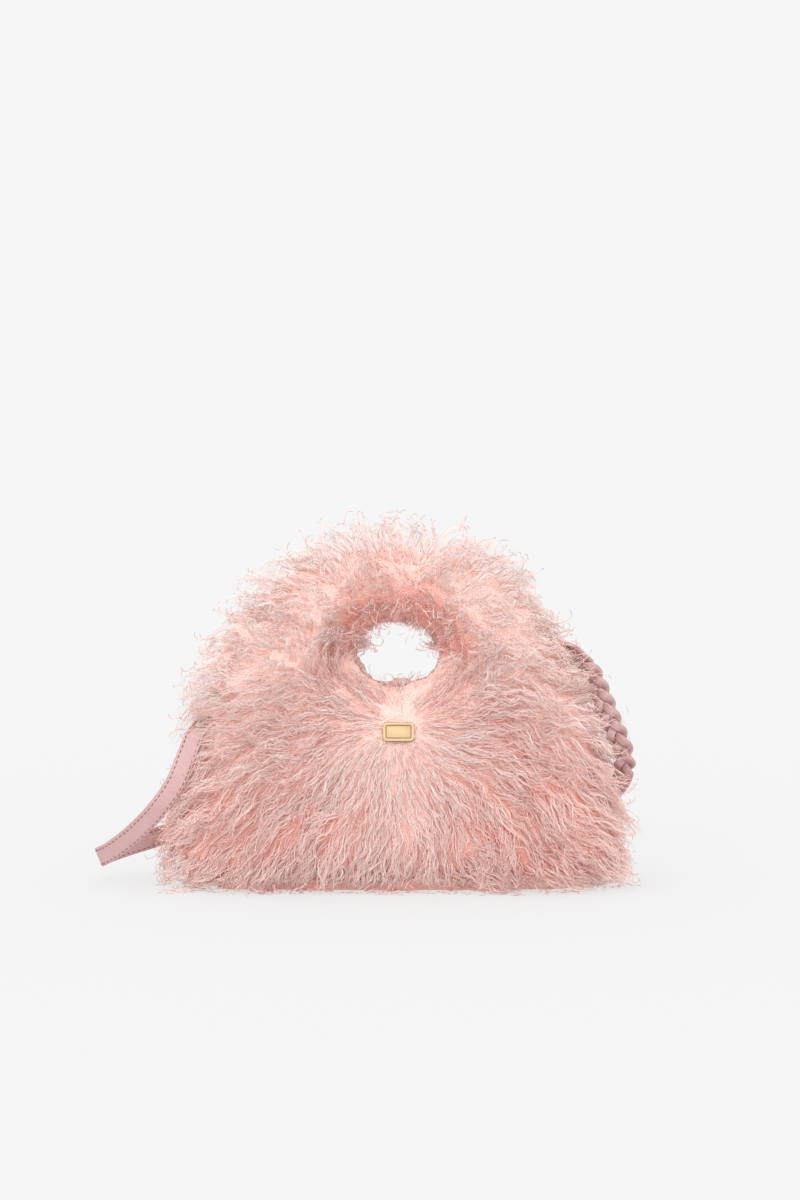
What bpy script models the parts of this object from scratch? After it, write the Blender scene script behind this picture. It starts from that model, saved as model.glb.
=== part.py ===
"""A mini hobo bag in curly shearling, with a padded top handle and a part-plaited shoulder strap.

Metres, +Z up, the front towards -Y. The origin is on the floor, under the middle of the pouch.
The bag is a ring round its grip hole. Each section of the table runs from the edge of that hole out
to the bag's outline: thin and round at the handle, deep and squarer at the bottom of the pouch.
"""

import math
import random

import bmesh
import bpy
from mathutils import Matrix, Vector

MM = 0.001

# Sizes of the hide, without its pile
BAG_WIDTH = 226 * MM
BAG_HEIGHT = 186 * MM
BAG_DEPTH = 70 * MM
HIDE_WALL = 2 * MM
GRIP_WIDTH = 76 * MM
GRIP_HEIGHT = 59 * MM
GRIP_CENTRE_HEIGHT = 133.5 * MM
GRIP_OFFSET = 2 * MM
MOUTH_TRIM = 6 * MM
MOUTH_GAP = 11 * MM

# Sizes of the pile
PILE_DEPTH = 12 * MM
FLOOR_PILE = 3.2 * MM
BASE_PILE = 2.6 * MM
LOCK_LENGTH = 30 * MM
LOCK_WIDTH = 18 * MM
LOCK_THICKNESS = 9 * MM
LOCK_RISE = 6 * MM
LOCK_ROOT = 5 * MM
LOCK_SPACING = 18 * MM
DIMPLE_RADIUS = 34 * MM

# A lock's form and where locks may grow. An arc of 1.9 radians lifts a lock and lays its tip down.
LOCK_PROFILE = [
    dict(share=0.0, width=0.8),
    dict(share=0.35, width=1.0),
    dict(share=0.75, width=0.75),
    dict(share=1.0, width=0.3),
]
LOCK_ARC = 1.9
LOCK_LAY = 1.4
LOCK_LEAN = 0.2
LOCK_SWAY = 0.35
LOCK_SIZES = (0.85, 1.15)
DIMPLE_PRESS = 0.7
GRIP_SIDE = -0.75
GRIP_LOCK_SIZE = 0.6
GRIP_LOCK_SPACING = 0.75
TRIES_PER_ROW = 6
TRIES_AROUND = 36
LOCK_PLACE_SEED = 11
LOCK_SHAPE_SEED = 5

# Sizes of the plaque
PLAQUE_WIDTH = 17.6 * MM
PLAQUE_HEIGHT = 10.8 * MM
PLAQUE_THICKNESS = 2.2 * MM
PLAQUE_CORNER = 2.4 * MM
PLAQUE_FRAME = 1.5 * MM
PLAQUE_FIELD_DEPTH = 0.7 * MM
PLAQUE_CENTRE_HEIGHT = 87.5 * MM
PLAQUE_STAND_OFF = 6.5 * MM
POST_RADIUS = 1.2 * MM
POST_SPACING = 9 * MM

# Sizes of the shoulder strap
STRAP_WIDTH = 11.2 * MM
STRAP_THICKNESS = 2.4 * MM
LACE_WIDTH = 3.3 * MM
LACE_THICKNESS = 1.7 * MM
PLAIT_WIDTH = 12.4 * MM
PLAIT_THICKNESS = 7 * MM
PLAIT_CROSSINGS = 15
SEAM_RUN = 4 * MM
STRAP_STEP = 6.5 * MM
LACE_STEP = 2.8 * MM

# Clearances between pieces
SEAT_GAP = 0.3 * MM
PILE_GAP = 0.6 * MM
STRAP_PILE_GAP = 1.8 * MM
SEAM_GAP = 0.4 * MM

# Fineness of the surfaces
STEPS_PER_ROW = 2
HIDE_SIDES = 12
PILE_SIDES = 24
FUSE_SIZE = 2.6 * MM
SIDE_FACES = 2000
BASE_FACES = 800
ROUTE_STEPS = 24
POST_SIDES = 10
BAND_FLAT = 0.84

# Sections of the hide round the grip hole, anticlockwise from the right, seen from the front.
# turn: direction from the hole's centre, in degrees. across: share of half the width. up: share of
# the height above the floor pile. deep: share of half the depth. inner: thickness at the hole over
# that at the outline. full: 2 is an oval section, and more is squarer. pile: share of the pile's
# depth at the outline.
SECTIONS = [
    dict(turn=0, across=0.80, up=0.660, deep=0.60, inner=0.70, full=2.2, pile=1.15),
    dict(turn=18, across=0.73, up=0.765, deep=0.52, inner=0.85, full=2.1, pile=0.90),
    dict(turn=38, across=0.59, up=0.874, deep=0.43, inner=0.95, full=2.0, pile=0.75),
    dict(turn=62, across=0.34, up=0.967, deep=0.38, inner=1.00, full=2.0, pile=0.75),
    dict(turn=90, across=0.00, up=1.000, deep=0.37, inner=1.00, full=2.0, pile=0.75),
    dict(turn=118, across=-0.36, up=0.956, deep=0.38, inner=1.00, full=2.0, pile=0.80),
    dict(turn=145, across=-0.60, up=0.858, deep=0.43, inner=0.95, full=2.0, pile=0.95),
    dict(turn=165, across=-0.71, up=0.748, deep=0.52, inner=0.85, full=2.1, pile=1.15),
    dict(turn=180, across=-0.78, up=0.650, deep=0.60, inner=0.70, full=2.2, pile=1.15),
    dict(turn=196, across=-0.86, up=0.540, deep=0.70, inner=0.50, full=2.4, pile=1.10),
    dict(turn=212, across=-0.94, up=0.398, deep=0.80, inner=0.40, full=2.6, pile=1.10),
    dict(turn=226, across=-0.99, up=0.240, deep=0.89, inner=0.33, full=2.8, pile=1.15),
    dict(turn=237, across=-0.98, up=0.103, deep=0.95, inner=0.30, full=3.0, pile=1.15),
    dict(turn=246, across=-0.85, up=0.010, deep=0.98, inner=0.30, full=3.2, pile=0.90),
    dict(turn=256, across=-0.52, up=0.000, deep=1.00, inner=0.30, full=3.2, pile=0.80),
    dict(turn=270, across=0.00, up=0.000, deep=1.00, inner=0.30, full=3.2, pile=0.80),
    dict(turn=284, across=0.52, up=0.000, deep=1.00, inner=0.30, full=3.2, pile=0.80),
    dict(turn=294, across=0.85, up=0.010, deep=0.98, inner=0.30, full=3.2, pile=0.90),
    dict(turn=303, across=0.98, up=0.103, deep=0.95, inner=0.30, full=3.0, pile=1.15),
    dict(turn=314, across=1.00, up=0.240, deep=0.89, inner=0.33, full=2.8, pile=1.20),
    dict(turn=328, across=0.94, up=0.398, deep=0.80, inner=0.40, full=2.6, pile=1.15),
    dict(turn=344, across=0.87, up=0.540, deep=0.70, inner=0.50, full=2.4, pile=1.10),
]
HANDLE_RIGHT_ROW = 1
HANDLE_LEFT_ROW = 7
MIDDLE_ROW = 15
LEFT_SEAM_ROW = 9.2
RIGHT_SEAM_ROW = 0.75
GRIP_PILE = 1.15

# Route of the shoulder strap from the left seam, round behind the bag, to the right seam. piece: the
# piece that runs up to this place. across and deep: shares of half the bag's width and depth over the
# locks of the pile. up: share of the bag's height. edge: the direction of the strap's width.
STRAP_ROUTE = [
    dict(piece="strap", across=-0.855, deep=-0.23, up=0.484, edge=(0.50, -0.75, -0.40)),
    dict(piece="strap", across=-0.897, deep=-0.40, up=0.419, edge=(0.75, -0.25, -0.62)),
    dict(piece="strap", across=-0.950, deep=-0.47, up=0.331, edge=(0.79, 0.05, -0.60)),
    dict(piece="strap", across=-1.038, deep=-0.44, up=0.242, edge=(0.76, 0.15, -0.63)),
    dict(piece="strap", across=-1.137, deep=-0.32, up=0.167, edge=(0.70, 0.15, -0.70)),
    dict(piece="strap", across=-1.229, deep=-0.15, up=0.110, edge=(0.60, 0.05, -0.80)),
    dict(piece="strap", across=-1.282, deep=0.03, up=0.083, edge=(0.42, -0.25, -0.87)),
    dict(piece="strap", across=-1.260, deep=0.18, up=0.085, edge=(0.25, -0.25, -0.93)),
    dict(piece="strap", across=-1.183, deep=0.30, up=0.100, edge=(0.15, -0.10, -0.98)),
    dict(piece="strap", across=-1.084, deep=0.40, up=0.118, edge=(0.10, 0.00, -1.00)),
    dict(piece="strap", across=-0.977, deep=0.57, up=0.134, edge=(0.05, 0.00, -1.00)),
    dict(piece="strap", across=-0.840, deep=0.82, up=0.138, edge=(0.00, 0.00, -1.00)),
    dict(piece="strap", across=-0.649, deep=1.06, up=0.125, edge=(0.00, 0.00, -1.00)),
    dict(piece="strap", across=-0.382, deep=1.13, up=0.105, edge=(0.00, 0.00, -1.00)),
    dict(piece="strap", across=0.000, deep=1.15, up=0.095, edge=(0.00, 0.00, -1.00)),
    dict(piece="strap", across=0.382, deep=1.13, up=0.112, edge=(0.10, 0.00, -1.00)),
    dict(piece="strap", across=0.687, deep=0.97, up=0.155, edge=(0.35, -0.05, -0.93)),
    dict(piece="strap", across=0.870, deep=0.66, up=0.215, edge=(0.65, -0.20, -0.70)),
    dict(piece="strap", across=0.958, deep=0.34, up=0.280, edge=(0.85, -0.40, -0.25)),
    dict(piece="plait", across=0.996, deep=0.09, up=0.344, edge=(0.85, -0.50, 0.10)),
    dict(piece="plait", across=0.985, deep=0.00, up=0.419, edge=(0.85, -0.40, 0.28)),
    dict(piece="plait", across=0.939, deep=-0.02, up=0.500, edge=(0.85, -0.35, 0.35)),
    dict(piece="plait", across=0.897, deep=0.00, up=0.575, edge=(0.85, -0.35, 0.35)),
    dict(piece="plait", across=0.851, deep=0.02, up=0.648, edge=(0.80, -0.40, 0.38)),
    dict(piece="plait", across=0.813, deep=0.04, up=0.683, edge=(0.70, -0.55, 0.48)),
    dict(piece="tab", across=0.760, deep=0.04, up=0.723, edge=(0.45, -0.80, 0.40)),
]

PILE_REACH = PILE_DEPTH + LOCK_RISE
TOWARDS_FRONT = Vector((0, -1, 0))


def smooth_mix(before, start, end, after, share):
    """The value at share of the way from start to end, on a Catmull-Rom curve."""
    return 0.5 * (
        2 * start
        + (end - before) * share
        + (2 * before - 5 * start + 4 * end - after) * share**2
        + (3 * start - before - 3 * end + after) * share**3
    )


def signed_power(value, power):
    return math.copysign(abs(value) ** power, value)


def ease(share):
    share = min(1.0, max(0.0, share))
    return share * share * (3 - 2 * share)


def section_at(row):
    """The table's columns at a row number, which may be between two rows. The table is a ring."""
    first = math.floor(row)
    rows = [SECTIONS[(first + step) % len(SECTIONS)] for step in (-1, 0, 1, 2)]
    laps = [360 * ((first + step) // len(SECTIONS)) for step in (-1, 0, 1, 2)]
    found = {}
    for column in SECTIONS[0]:
        values = [r[column] + (lap if column == "turn" else 0) for r, lap in zip(rows, laps)]
        found[column] = smooth_mix(*values, row - first)
    return found


def hide_ends(section):
    """The section's ends, at the grip hole and at the outline, in the middle plane."""
    turn = math.radians(section["turn"])
    hole = Vector((
        GRIP_OFFSET + GRIP_WIDTH / 2 * math.cos(turn),
        0,
        GRIP_CENTRE_HEIGHT + GRIP_HEIGHT / 2 * math.sin(turn),
    ))
    outline = Vector((
        section["across"] * BAG_WIDTH / 2,
        0,
        FLOOR_PILE + section["up"] * (BAG_HEIGHT - FLOOR_PILE),
    ))
    return hole, outline


def skin_point(row, angle, grow_hole=0.0, grow_outline=0.0, grow_side=0.0):
    """A point of the hide, or of a skin that lies outside it by the three growths."""
    section = section_at(row)
    hole, outline = hide_ends(section)
    half = (outline - hole) / 2
    power = 2 / section["full"]
    along = signed_power(math.cos(angle), power)
    sideways = signed_power(math.sin(angle), power)
    reach = half.length + (grow_outline if along > 0 else grow_hole)
    share = (1 + along) / 2
    thickness = section["deep"] * BAG_DEPTH / 2 * (section["inner"] + (1 - section["inner"]) * share)
    point = (hole + outline) / 2 + half.normalized() * along * reach
    point.y = sideways * (thickness + grow_side)
    return point


def even_skin(growth):
    return lambda row, angle: skin_point(row, angle, growth, growth, growth)


def plaque_share(point):
    """1 at the plaque, on the front, falling to 0 over the dimple round it."""
    if point.y > 0:
        return 0.0
    away = math.hypot(point.x - GRIP_OFFSET, point.z - PLAQUE_CENTRE_HEIGHT)
    return math.exp(-((away / DIMPLE_RADIUS) ** 2))


def pile_skin(row, angle):
    """The solid part of the pile, under its locks, pressed in round the plaque."""
    bare = skin_point(row, angle)
    pressed = plaque_share(bare)
    side = PILE_DEPTH * (1 - pressed) + (PLAQUE_STAND_OFF + PLAQUE_THICKNESS / 2) * pressed
    outline = PILE_DEPTH * section_at(row)["pile"]
    return skin_point(row, angle, PILE_DEPTH * GRIP_PILE, outline, side)


def skin_normal(skin, row, angle):
    step = 0.02
    along = skin(row + step, angle) - skin(row - step, angle)
    around = skin(row, angle + step) - skin(row, angle - step)
    return around.cross(along).normalized()


def new_object(name, mesh, material=None):
    obj = bpy.data.objects.new(name, mesh)
    bpy.context.scene.collection.objects.link(obj)
    if material:
        mesh.materials.clear()
        mesh.materials.append(material)
    return obj


def as_cutter(obj):
    obj.hide_render = True
    obj.display_type = "WIRE"
    return obj


def mesh_of_rings(name, rings, ring_of_rings=False):
    """A closed surface through rings of points, capped at both ends or joined into a ring."""
    shape = bmesh.new()
    loops = [[shape.verts.new(point) for point in ring] for ring in rings]
    pairs = list(zip(loops, loops[1:]))
    if ring_of_rings:
        pairs.append((loops[-1], loops[0]))
    for one, other in pairs:
        for index in range(len(one)):
            after = (index + 1) % len(one)
            shape.faces.new((one[index], one[after], other[after]))
            shape.faces.new((one[index], other[after], other[index]))
    if not ring_of_rings:
        shape.faces.new(loops[0])
        shape.faces.new(loops[-1])
    bmesh.ops.recalc_face_normals(shape, faces=shape.faces)
    mesh = bpy.data.meshes.new(name)
    shape.to_mesh(mesh)
    shape.free()
    return mesh


def skin_rings(skin, rows, sides):
    return [[skin(row, 2 * math.pi * (side + 0.5) / sides) for side in range(sides)] for row in rows]


def whole_rows():
    count = len(SECTIONS) * STEPS_PER_ROW
    return [index / STEPS_PER_ROW for index in range(count)]


def rows_between(first, last):
    count = round((last - first) * STEPS_PER_ROW)
    return [first + (last - first) * index / count for index in range(count + 1)]


def shaped_mesh(obj):
    """The object's mesh with its modifiers worked out."""
    graph = bpy.context.evaluated_depsgraph_get()
    return bpy.data.meshes.new_from_object(obj.evaluated_get(graph))


def replace_mesh(obj, mesh):
    obj.modifiers.clear()
    obj.data = mesh


def add_boolean(obj, operation, other, solver="EXACT"):
    modifier = obj.modifiers.new(f"{operation.lower()} {other.name}", "BOOLEAN")
    modifier.operation = operation
    modifier.solver = solver
    modifier.object = other


def keep_largest_body(obj):
    """Takes away the slivers of the cuts, and the tips of locks that a cut has parted from the pile."""
    shape = bmesh.new()
    shape.from_mesh(obj.data)
    left = set(shape.verts)
    bodies = []
    while left:
        body = {left.pop()}
        edge_of_body = list(body)
        while edge_of_body:
            vertex = edge_of_body.pop()
            for edge in vertex.link_edges:
                other = edge.other_vert(vertex)
                if other in left:
                    left.remove(other)
                    body.add(other)
                    edge_of_body.append(other)
        bodies.append(body)
    largest = max(bodies, key=len)
    bmesh.ops.delete(shape, geom=[v for v in shape.verts if v not in largest], context="VERTS")
    shape.to_mesh(obj.data)
    shape.free()


def box_mesh(name, low, high):
    shape = bmesh.new()
    bmesh.ops.create_cube(shape, size=1)
    for vertex in shape.verts:
        vertex.co = Vector((l if c < 0 else h for c, l, h in zip(vertex.co, low, high)))
    mesh = bpy.data.meshes.new(name)
    shape.to_mesh(mesh)
    shape.free()
    return mesh


def mouth_cutter(name, trim, half_gap):
    """The lower half of the grip hole's oval, wider by trim, as a slab across the bag."""
    steps = 24
    lowest, highest = math.radians(186), math.radians(354)
    rings = []
    for depth in (-half_gap, half_gap):
        ring = []
        for index in range(steps + 1):
            turn = lowest + (highest - lowest) * index / steps
            ring.append(Vector((
                GRIP_OFFSET + (GRIP_WIDTH / 2 + trim) * math.cos(turn),
                depth,
                GRIP_CENTRE_HEIGHT + (GRIP_HEIGHT / 2 + trim) * math.sin(turn),
            )))
        rings.append(ring)
    return as_cutter(new_object(name, mesh_of_rings(name, rings)))


def principled(name, colour, roughness, metallic=0.0):
    material = bpy.data.materials.new(name)
    material.use_nodes = True
    shader = material.node_tree.nodes["Principled BSDF"]
    shader.inputs["Base Color"].default_value = (*colour, 1)
    shader.inputs["Roughness"].default_value = roughness
    shader.inputs["Metallic"].default_value = metallic
    material.diffuse_color = (*colour, 1)
    return material


def make_pouch(material):
    rows = rows_between(HANDLE_LEFT_ROW, HANDLE_RIGHT_ROW + len(SECTIONS))
    hide = new_object("pouch", mesh_of_rings("pouch", skin_rings(even_skin(0), rows, HIDE_SIDES)), material)
    wall_rows = HIDE_WALL / row_length(rows[0])
    inside = rows_between(rows[0] + wall_rows, rows[-1] - wall_rows)
    hollow = mesh_of_rings("hollow", skin_rings(even_skin(-HIDE_WALL), inside, HIDE_SIDES))
    add_boolean(hide, "DIFFERENCE", as_cutter(new_object("pouch_hollow", hollow)))
    add_boolean(hide, "DIFFERENCE", mouth_cutter("pouch_mouth", MOUTH_TRIM, BAG_DEPTH))
    return hide


def row_length(row):
    """The length of one row of the table along the edge of the grip hole, at this row."""
    step = 0.05
    here, _ = hide_ends(section_at(row))
    there, _ = hide_ends(section_at(row + step))
    return (there - here).length / step


def make_handle(material):
    first = HANDLE_RIGHT_ROW + SEAM_GAP / row_length(HANDLE_RIGHT_ROW)
    last = HANDLE_LEFT_ROW - SEAM_GAP / row_length(HANDLE_LEFT_ROW)
    rings = skin_rings(even_skin(0), rows_between(first, last), HIDE_SIDES)
    return new_object("handle", mesh_of_rings("handle", rings), material)


def lock_places():
    """Where the locks grow: evenly spread places on the pile, as (row, angle)."""
    chance = random.Random(LOCK_PLACE_SEED)
    tries = [
        (row / TRIES_PER_ROW, 2 * math.pi * side / TRIES_AROUND)
        for row in range(TRIES_PER_ROW * len(SECTIONS))
        for side in range(TRIES_AROUND)
    ]
    chance.shuffle(tries)
    kept = []
    for row, angle in tries:
        place = pile_skin(row, angle)
        spacing = LOCK_SPACING * (GRIP_LOCK_SPACING if in_grip(angle) else 1.0)
        if place.z > LOCK_THICKNESS / 2 and all((place - k[2]).length > spacing for k in kept):
            kept.append((row, angle, place))
    return kept


def in_grip(angle):
    return math.cos(angle) < GRIP_SIDE


def lock_mesh(row, angle, place, chance):
    """One lock of the pile: a flattened horn that leaves the pile outwards and lies down along it."""
    normal = skin_normal(pile_skin, row, angle)
    centre_height = PLAQUE_CENTRE_HEIGHT if place.y < 0 else GRIP_CENTRE_HEIGHT - GRIP_HEIGHT / 2
    flow = place - Vector((GRIP_OFFSET, place.y, centre_height))
    flow = (flow - normal * flow.dot(normal)).normalized()
    side = normal.cross(flow)
    size = chance.uniform(*LOCK_SIZES)
    size *= GRIP_LOCK_SIZE if in_grip(angle) else section_at(row)["pile"]
    sway = chance.uniform(-LOCK_SWAY, LOCK_SWAY) * LOCK_LENGTH
    low = 1 - DIMPLE_PRESS * plaque_share(place)
    rings = []
    for level in LOCK_PROFILE:
        share = level["share"]
        rise = -LOCK_ROOT + (LOCK_ROOT + LOCK_RISE * size * low) * math.sin(LOCK_ARC * share)
        middle = (
            place
            + normal * rise
            + flow * LOCK_LENGTH * size * share**LOCK_LAY
            + side * sway * share**2
        )
        across = side * LOCK_WIDTH / 2 * level["width"] * size
        upright = (normal + flow * LOCK_LEAN - flow * share).normalized()
        thick = upright * LOCK_THICKNESS / 2 * level["width"] * size
        turns = [math.pi * k / 3 for k in range(6)]
        rings.append([middle + across * math.cos(turn) + thick * math.sin(turn) for turn in turns])
    return mesh_of_rings("lock", rings)


def covers_strap(lock, frames):
    """Whether a lock would lie over the strap or the plait, as seen from the front."""
    in_view = STRAP_WIDTH * 0.75
    for place, _, _ in frames:
        if place.y > BAG_DEPTH / 4:
            continue
        for vertex in lock.vertices:
            away = vertex.co - place
            if away.y < STRAP_WIDTH and math.hypot(away.x, away.z) < in_view:
                return True
    return False


def joined_mesh(name, meshes):
    shape = bmesh.new()
    for mesh in meshes:
        shape.from_mesh(mesh)
    joined = bpy.data.meshes.new(name)
    shape.to_mesh(joined)
    shape.free()
    return joined


def make_panel(name, low, high, faces, locks, cutters, material):
    """The pile inside a box: its dense part and the locks that reach in, fused, and cut to what it
    lies against."""
    skin = mesh_of_rings("pile", skin_rings(pile_skin, whole_rows(), PILE_SIDES), ring_of_rings=True)
    own = [lock for lock in locks if reaches_into(lock, low, high)]
    panel = new_object(name, joined_mesh(name, [skin, *own]), material)
    remesh = panel.modifiers.new("fuse", "REMESH")
    remesh.mode = "VOXEL"
    remesh.voxel_size = FUSE_SIZE
    replace_mesh(panel, shaped_mesh(panel))
    thin = panel.modifiers.new("thin", "DECIMATE")
    thin.ratio = faces / triangle_count(panel.data)
    replace_mesh(panel, shaped_mesh(panel))
    panel_box = as_cutter(new_object(f"{name}_box", box_mesh("box", low, high)))
    add_boolean(panel, "INTERSECT", panel_box, "MANIFOLD")
    for cutter in cutters:
        add_boolean(panel, "DIFFERENCE", cutter, "MANIFOLD")
    replace_mesh(panel, shaped_mesh(panel))
    keep_largest_body(panel)
    return panel


def reaches_into(lock, low, high):
    return any(all(l < c < h for l, c, h in zip(low, v.co, high)) for v in lock.vertices)


def make_shearling(locks, cutters, plaque_room, material):
    """The pile in three panels: the base, which is pressed flat on the floor, the front and the back."""
    far = BAG_WIDTH + BAG_HEIGHT
    edge = SEAM_GAP / 2
    over_base = BASE_PILE + edge
    under_rest = BASE_PILE - edge
    rest = (locks, cutters, material)
    make_panel("shearling_base", (-far, -far, 0), (far, far, under_rest), BASE_FACES, *rest)
    front = make_panel("shearling_front", (-far, -far, over_base), (far, -edge, far), SIDE_FACES, *rest)
    make_panel("shearling_back", (-far, edge, over_base), (far, far, far), SIDE_FACES, *rest)
    add_boolean(front, "DIFFERENCE", plaque_room, "MANIFOLD")
    replace_mesh(front, shaped_mesh(front))


def triangle_count(mesh):
    return sum(len(face.vertices) - 2 for face in mesh.polygons)


def plaque_seat():
    """The plaque's place: its centre on the hide and the way it faces, as a matrix with +Z outwards."""
    one_step, steps = 0.01, 120
    angles = [-math.pi / 2 - one_step * step for step in range(steps)]
    angle = min(angles, key=lambda a: abs(skin_point(MIDDLE_ROW, a).z - PLAQUE_CENTRE_HEIGHT))
    place = skin_point(MIDDLE_ROW, angle)
    place.x = GRIP_OFFSET
    outward = skin_normal(even_skin(0), MIDDLE_ROW, angle)
    outward.x = 0
    outward.normalize()
    right = Vector((1, 0, 0))
    up = outward.cross(right)
    turn = Matrix((right, up, outward)).transposed().to_4x4()
    return Matrix.Translation(place) @ turn


def rounded_rectangle(width, height, corner, steps=4):
    points = []
    for quarter, (sx, sy) in enumerate(((1, 1), (-1, 1), (-1, -1), (1, -1))):
        for step in range(steps + 1):
            turn = math.pi / 2 * (quarter + step / steps)
            points.append(Vector((
                sx * (width / 2 - corner) + corner * math.cos(turn),
                sy * (height / 2 - corner) + corner * math.sin(turn),
            )))
    return points


def plaque_mesh(grow, open_to):
    """The plaque with its two posts, in its own frame. With grow it is the room that the pile leaves."""
    back = PLAQUE_STAND_OFF - grow
    front = PLAQUE_STAND_OFF + PLAQUE_THICKNESS + open_to
    levels = [(back, 0.0), (front, 0.0)]
    if not open_to:
        bevel = PLAQUE_FRAME / 4
        levels = [
            (back, 0.0),
            (front - bevel, 0.0),
            (front, bevel),
            (front, PLAQUE_FRAME),
            (front - PLAQUE_FIELD_DEPTH, PLAQUE_FRAME + bevel),
        ]
    rings = []
    for height, inset in levels:
        corner = max(PLAQUE_CORNER + grow - inset, PLAQUE_FRAME / 4)
        outline = rounded_rectangle(
            PLAQUE_WIDTH + 2 * (grow - inset), PLAQUE_HEIGHT + 2 * (grow - inset), corner
        )
        rings.append([Vector((p.x, p.y, height)) for p in outline])
    meshes = [mesh_of_rings("plate", rings)]
    for across in (-POST_SPACING / 2, POST_SPACING / 2):
        radius = POST_RADIUS + grow
        low = SEAT_GAP - grow * 2
        circle = [2 * math.pi * k / POST_SIDES for k in range(POST_SIDES)]
        meshes.append(mesh_of_rings("post", [
            [Vector((across + radius * math.cos(a), radius * math.sin(a), height)) for a in circle]
            for height in (low, PLAQUE_STAND_OFF + PLAQUE_THICKNESS / 2)
        ]))
    return meshes


def fused_object(name, meshes, material=None):
    """One body from closed meshes that overlap."""
    body = new_object(name, meshes[0], material)
    for index, mesh in enumerate(meshes[1:]):
        add_boolean(body, "UNION", as_cutter(new_object(f"{name}_joined_{index}", mesh)))
    return body


def route_point(row):
    return Vector((
        row["across"] * (BAG_WIDTH / 2 + PILE_REACH),
        row["deep"] * (BAG_DEPTH / 2 + PILE_REACH),
        row["up"] * BAG_HEIGHT,
    ))


def seam_place(row, away):
    """A place on the hide's outline, or as far outside it as asked, where a strap enters flat."""
    hole, outline = hide_ends(section_at(row))
    before = hide_ends(section_at(row - 0.1))[1]
    after = hide_ends(section_at(row + 0.1))[1]
    outward = (after - before).cross(Vector((0, 1, 0))).normalized()
    outward *= math.copysign(1, outward.dot(outline - hole))
    return outline + outward * away, TOWARDS_FRONT


def whole_route():
    """The (place, edge direction) pairs of the strap's route, and where each of its pieces ends."""
    places = [(route_point(row), Vector(row["edge"])) for row in STRAP_ROUTE]
    ends = {row["piece"]: place for row, (place, _) in zip(STRAP_ROUTE, places)}
    left = [seam_place(LEFT_SEAM_ROW, away) for away in (SEAT_GAP, SEAM_RUN)]
    right = [seam_place(RIGHT_SEAM_ROW, away) for away in (SEAM_RUN, SEAT_GAP)]
    ends.update(start=left[0][0], tab=right[-1][0])
    return [*left, *places, *right], ends


def smooth_route(places, spacing):
    """Evenly spaced frames (place, across, out) on a smooth curve through (place, edge) pairs: across
    is the way of the band's width, out the way its face looks."""
    padded = [places[0], *places, places[-1]]
    fine = []
    for index in range(1, len(padded) - 2):
        for step in range(ROUTE_STEPS):
            fine.append([
                smooth_mix(*[padded[index + k][part] for k in (-1, 0, 1, 2)], step / ROUTE_STEPS)
                for part in (0, 1)
            ])
    fine.append(list(places[-1]))
    lengths = [0.0]
    for one, other in zip(fine, fine[1:]):
        lengths.append(lengths[-1] + (other[0] - one[0]).length)
    count = max(2, round(lengths[-1] / spacing))
    frames, at = [], 0
    for index in range(count + 1):
        wanted = lengths[-1] * index / count
        while at < len(lengths) - 2 and lengths[at + 1] < wanted:
            at += 1
        share = (wanted - lengths[at]) / (lengths[at + 1] - lengths[at])
        place, edge = (fine[at][part].lerp(fine[at + 1][part], share) for part in (0, 1))
        ahead = (fine[at + 1][0] - fine[at][0]).normalized()
        across = (edge - ahead * edge.dot(ahead)).normalized()
        frames.append([place, across, ahead.cross(across)])
    return frames


def band_ring(place, across, out, width, thickness):
    """A flat six-sided section with thin edges."""
    flat = BAND_FLAT
    shares = ((-1, 0), (-flat, -1), (flat, -1), (1, 0), (flat, 1), (-flat, 1))
    return [place + across * width / 2 * a + out * thickness / 2 * b for a, b in shares]


def band_mesh(name, frames, width, thickness):
    return mesh_of_rings(name, [band_ring(*frame, width, thickness) for frame in frames])


def lace_frames(frames, lace):
    """The frames of one of the three laces of the plait, which lie side by side at both ends."""
    swing = (PLAIT_WIDTH - LACE_WIDTH) / 2
    weave = (PLAIT_THICKNESS - LACE_THICKNESS) / 2
    side_by_side = STRAP_WIDTH / 3
    last = PLAIT_CROSSINGS * math.pi / 3
    found = []
    for index, (place, across, out) in enumerate(frames):
        share = index / (len(frames) - 1)
        phase = last * share + 2 * math.pi * lace / 3
        end_phase = (0 if share < 0.5 else last) + 2 * math.pi * lace / 3
        lane = round(math.sin(end_phase) / math.sin(math.pi / 3)) * side_by_side
        from_end = min(share, 1 - share) * PLAIT_CROSSINGS
        plaited = ease(from_end)
        sideways = lane * (1 - plaited) + swing * math.sin(phase) * plaited
        outward = weave * math.sin(2 * phase) * ease(2 * from_end)
        found.append([place + across * sideways + out * outward, across, out])
    centres = [frame[0] for frame in found]
    for before, frame, after in zip(centres, found[1:], centres[2:]):
        ahead = (after - before).normalized()
        out = (frame[2] - ahead * frame[2].dot(ahead)).normalized()
        frame[1], frame[2] = out.cross(ahead), out
    return found


def cut_route(frames, start, end, gap):
    """The frames between two places of the route, less a gap at each end that isn't the route's own."""
    nearest = [min(range(len(frames)), key=lambda i: (frames[i][0] - p).length) for p in (start, end)]
    part = [list(frame) for frame in frames[nearest[0]:nearest[1] + 1]]
    if nearest[0] > 0:
        part[0][0] = part[0][0] + (part[1][0] - part[0][0]).normalized() * gap
    if nearest[1] < len(frames) - 1:
        part[-1][0] = part[-1][0] + (part[-2][0] - part[-1][0]).normalized() * gap
    return part


def lengthened(frames):
    """The frames, carried on past both ends by the room that the pile leaves round the strap."""
    longer = [list(frame) for frame in frames]
    for end, next_in in ((0, 1), (-1, -2)):
        longer[end][0] = longer[end][0] + (
            (longer[end][0] - longer[next_in][0]).normalized() * STRAP_PILE_GAP
        )
    return longer


def clear_scene():
    for obj in list(bpy.data.objects):
        bpy.data.objects.remove(obj)


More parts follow.
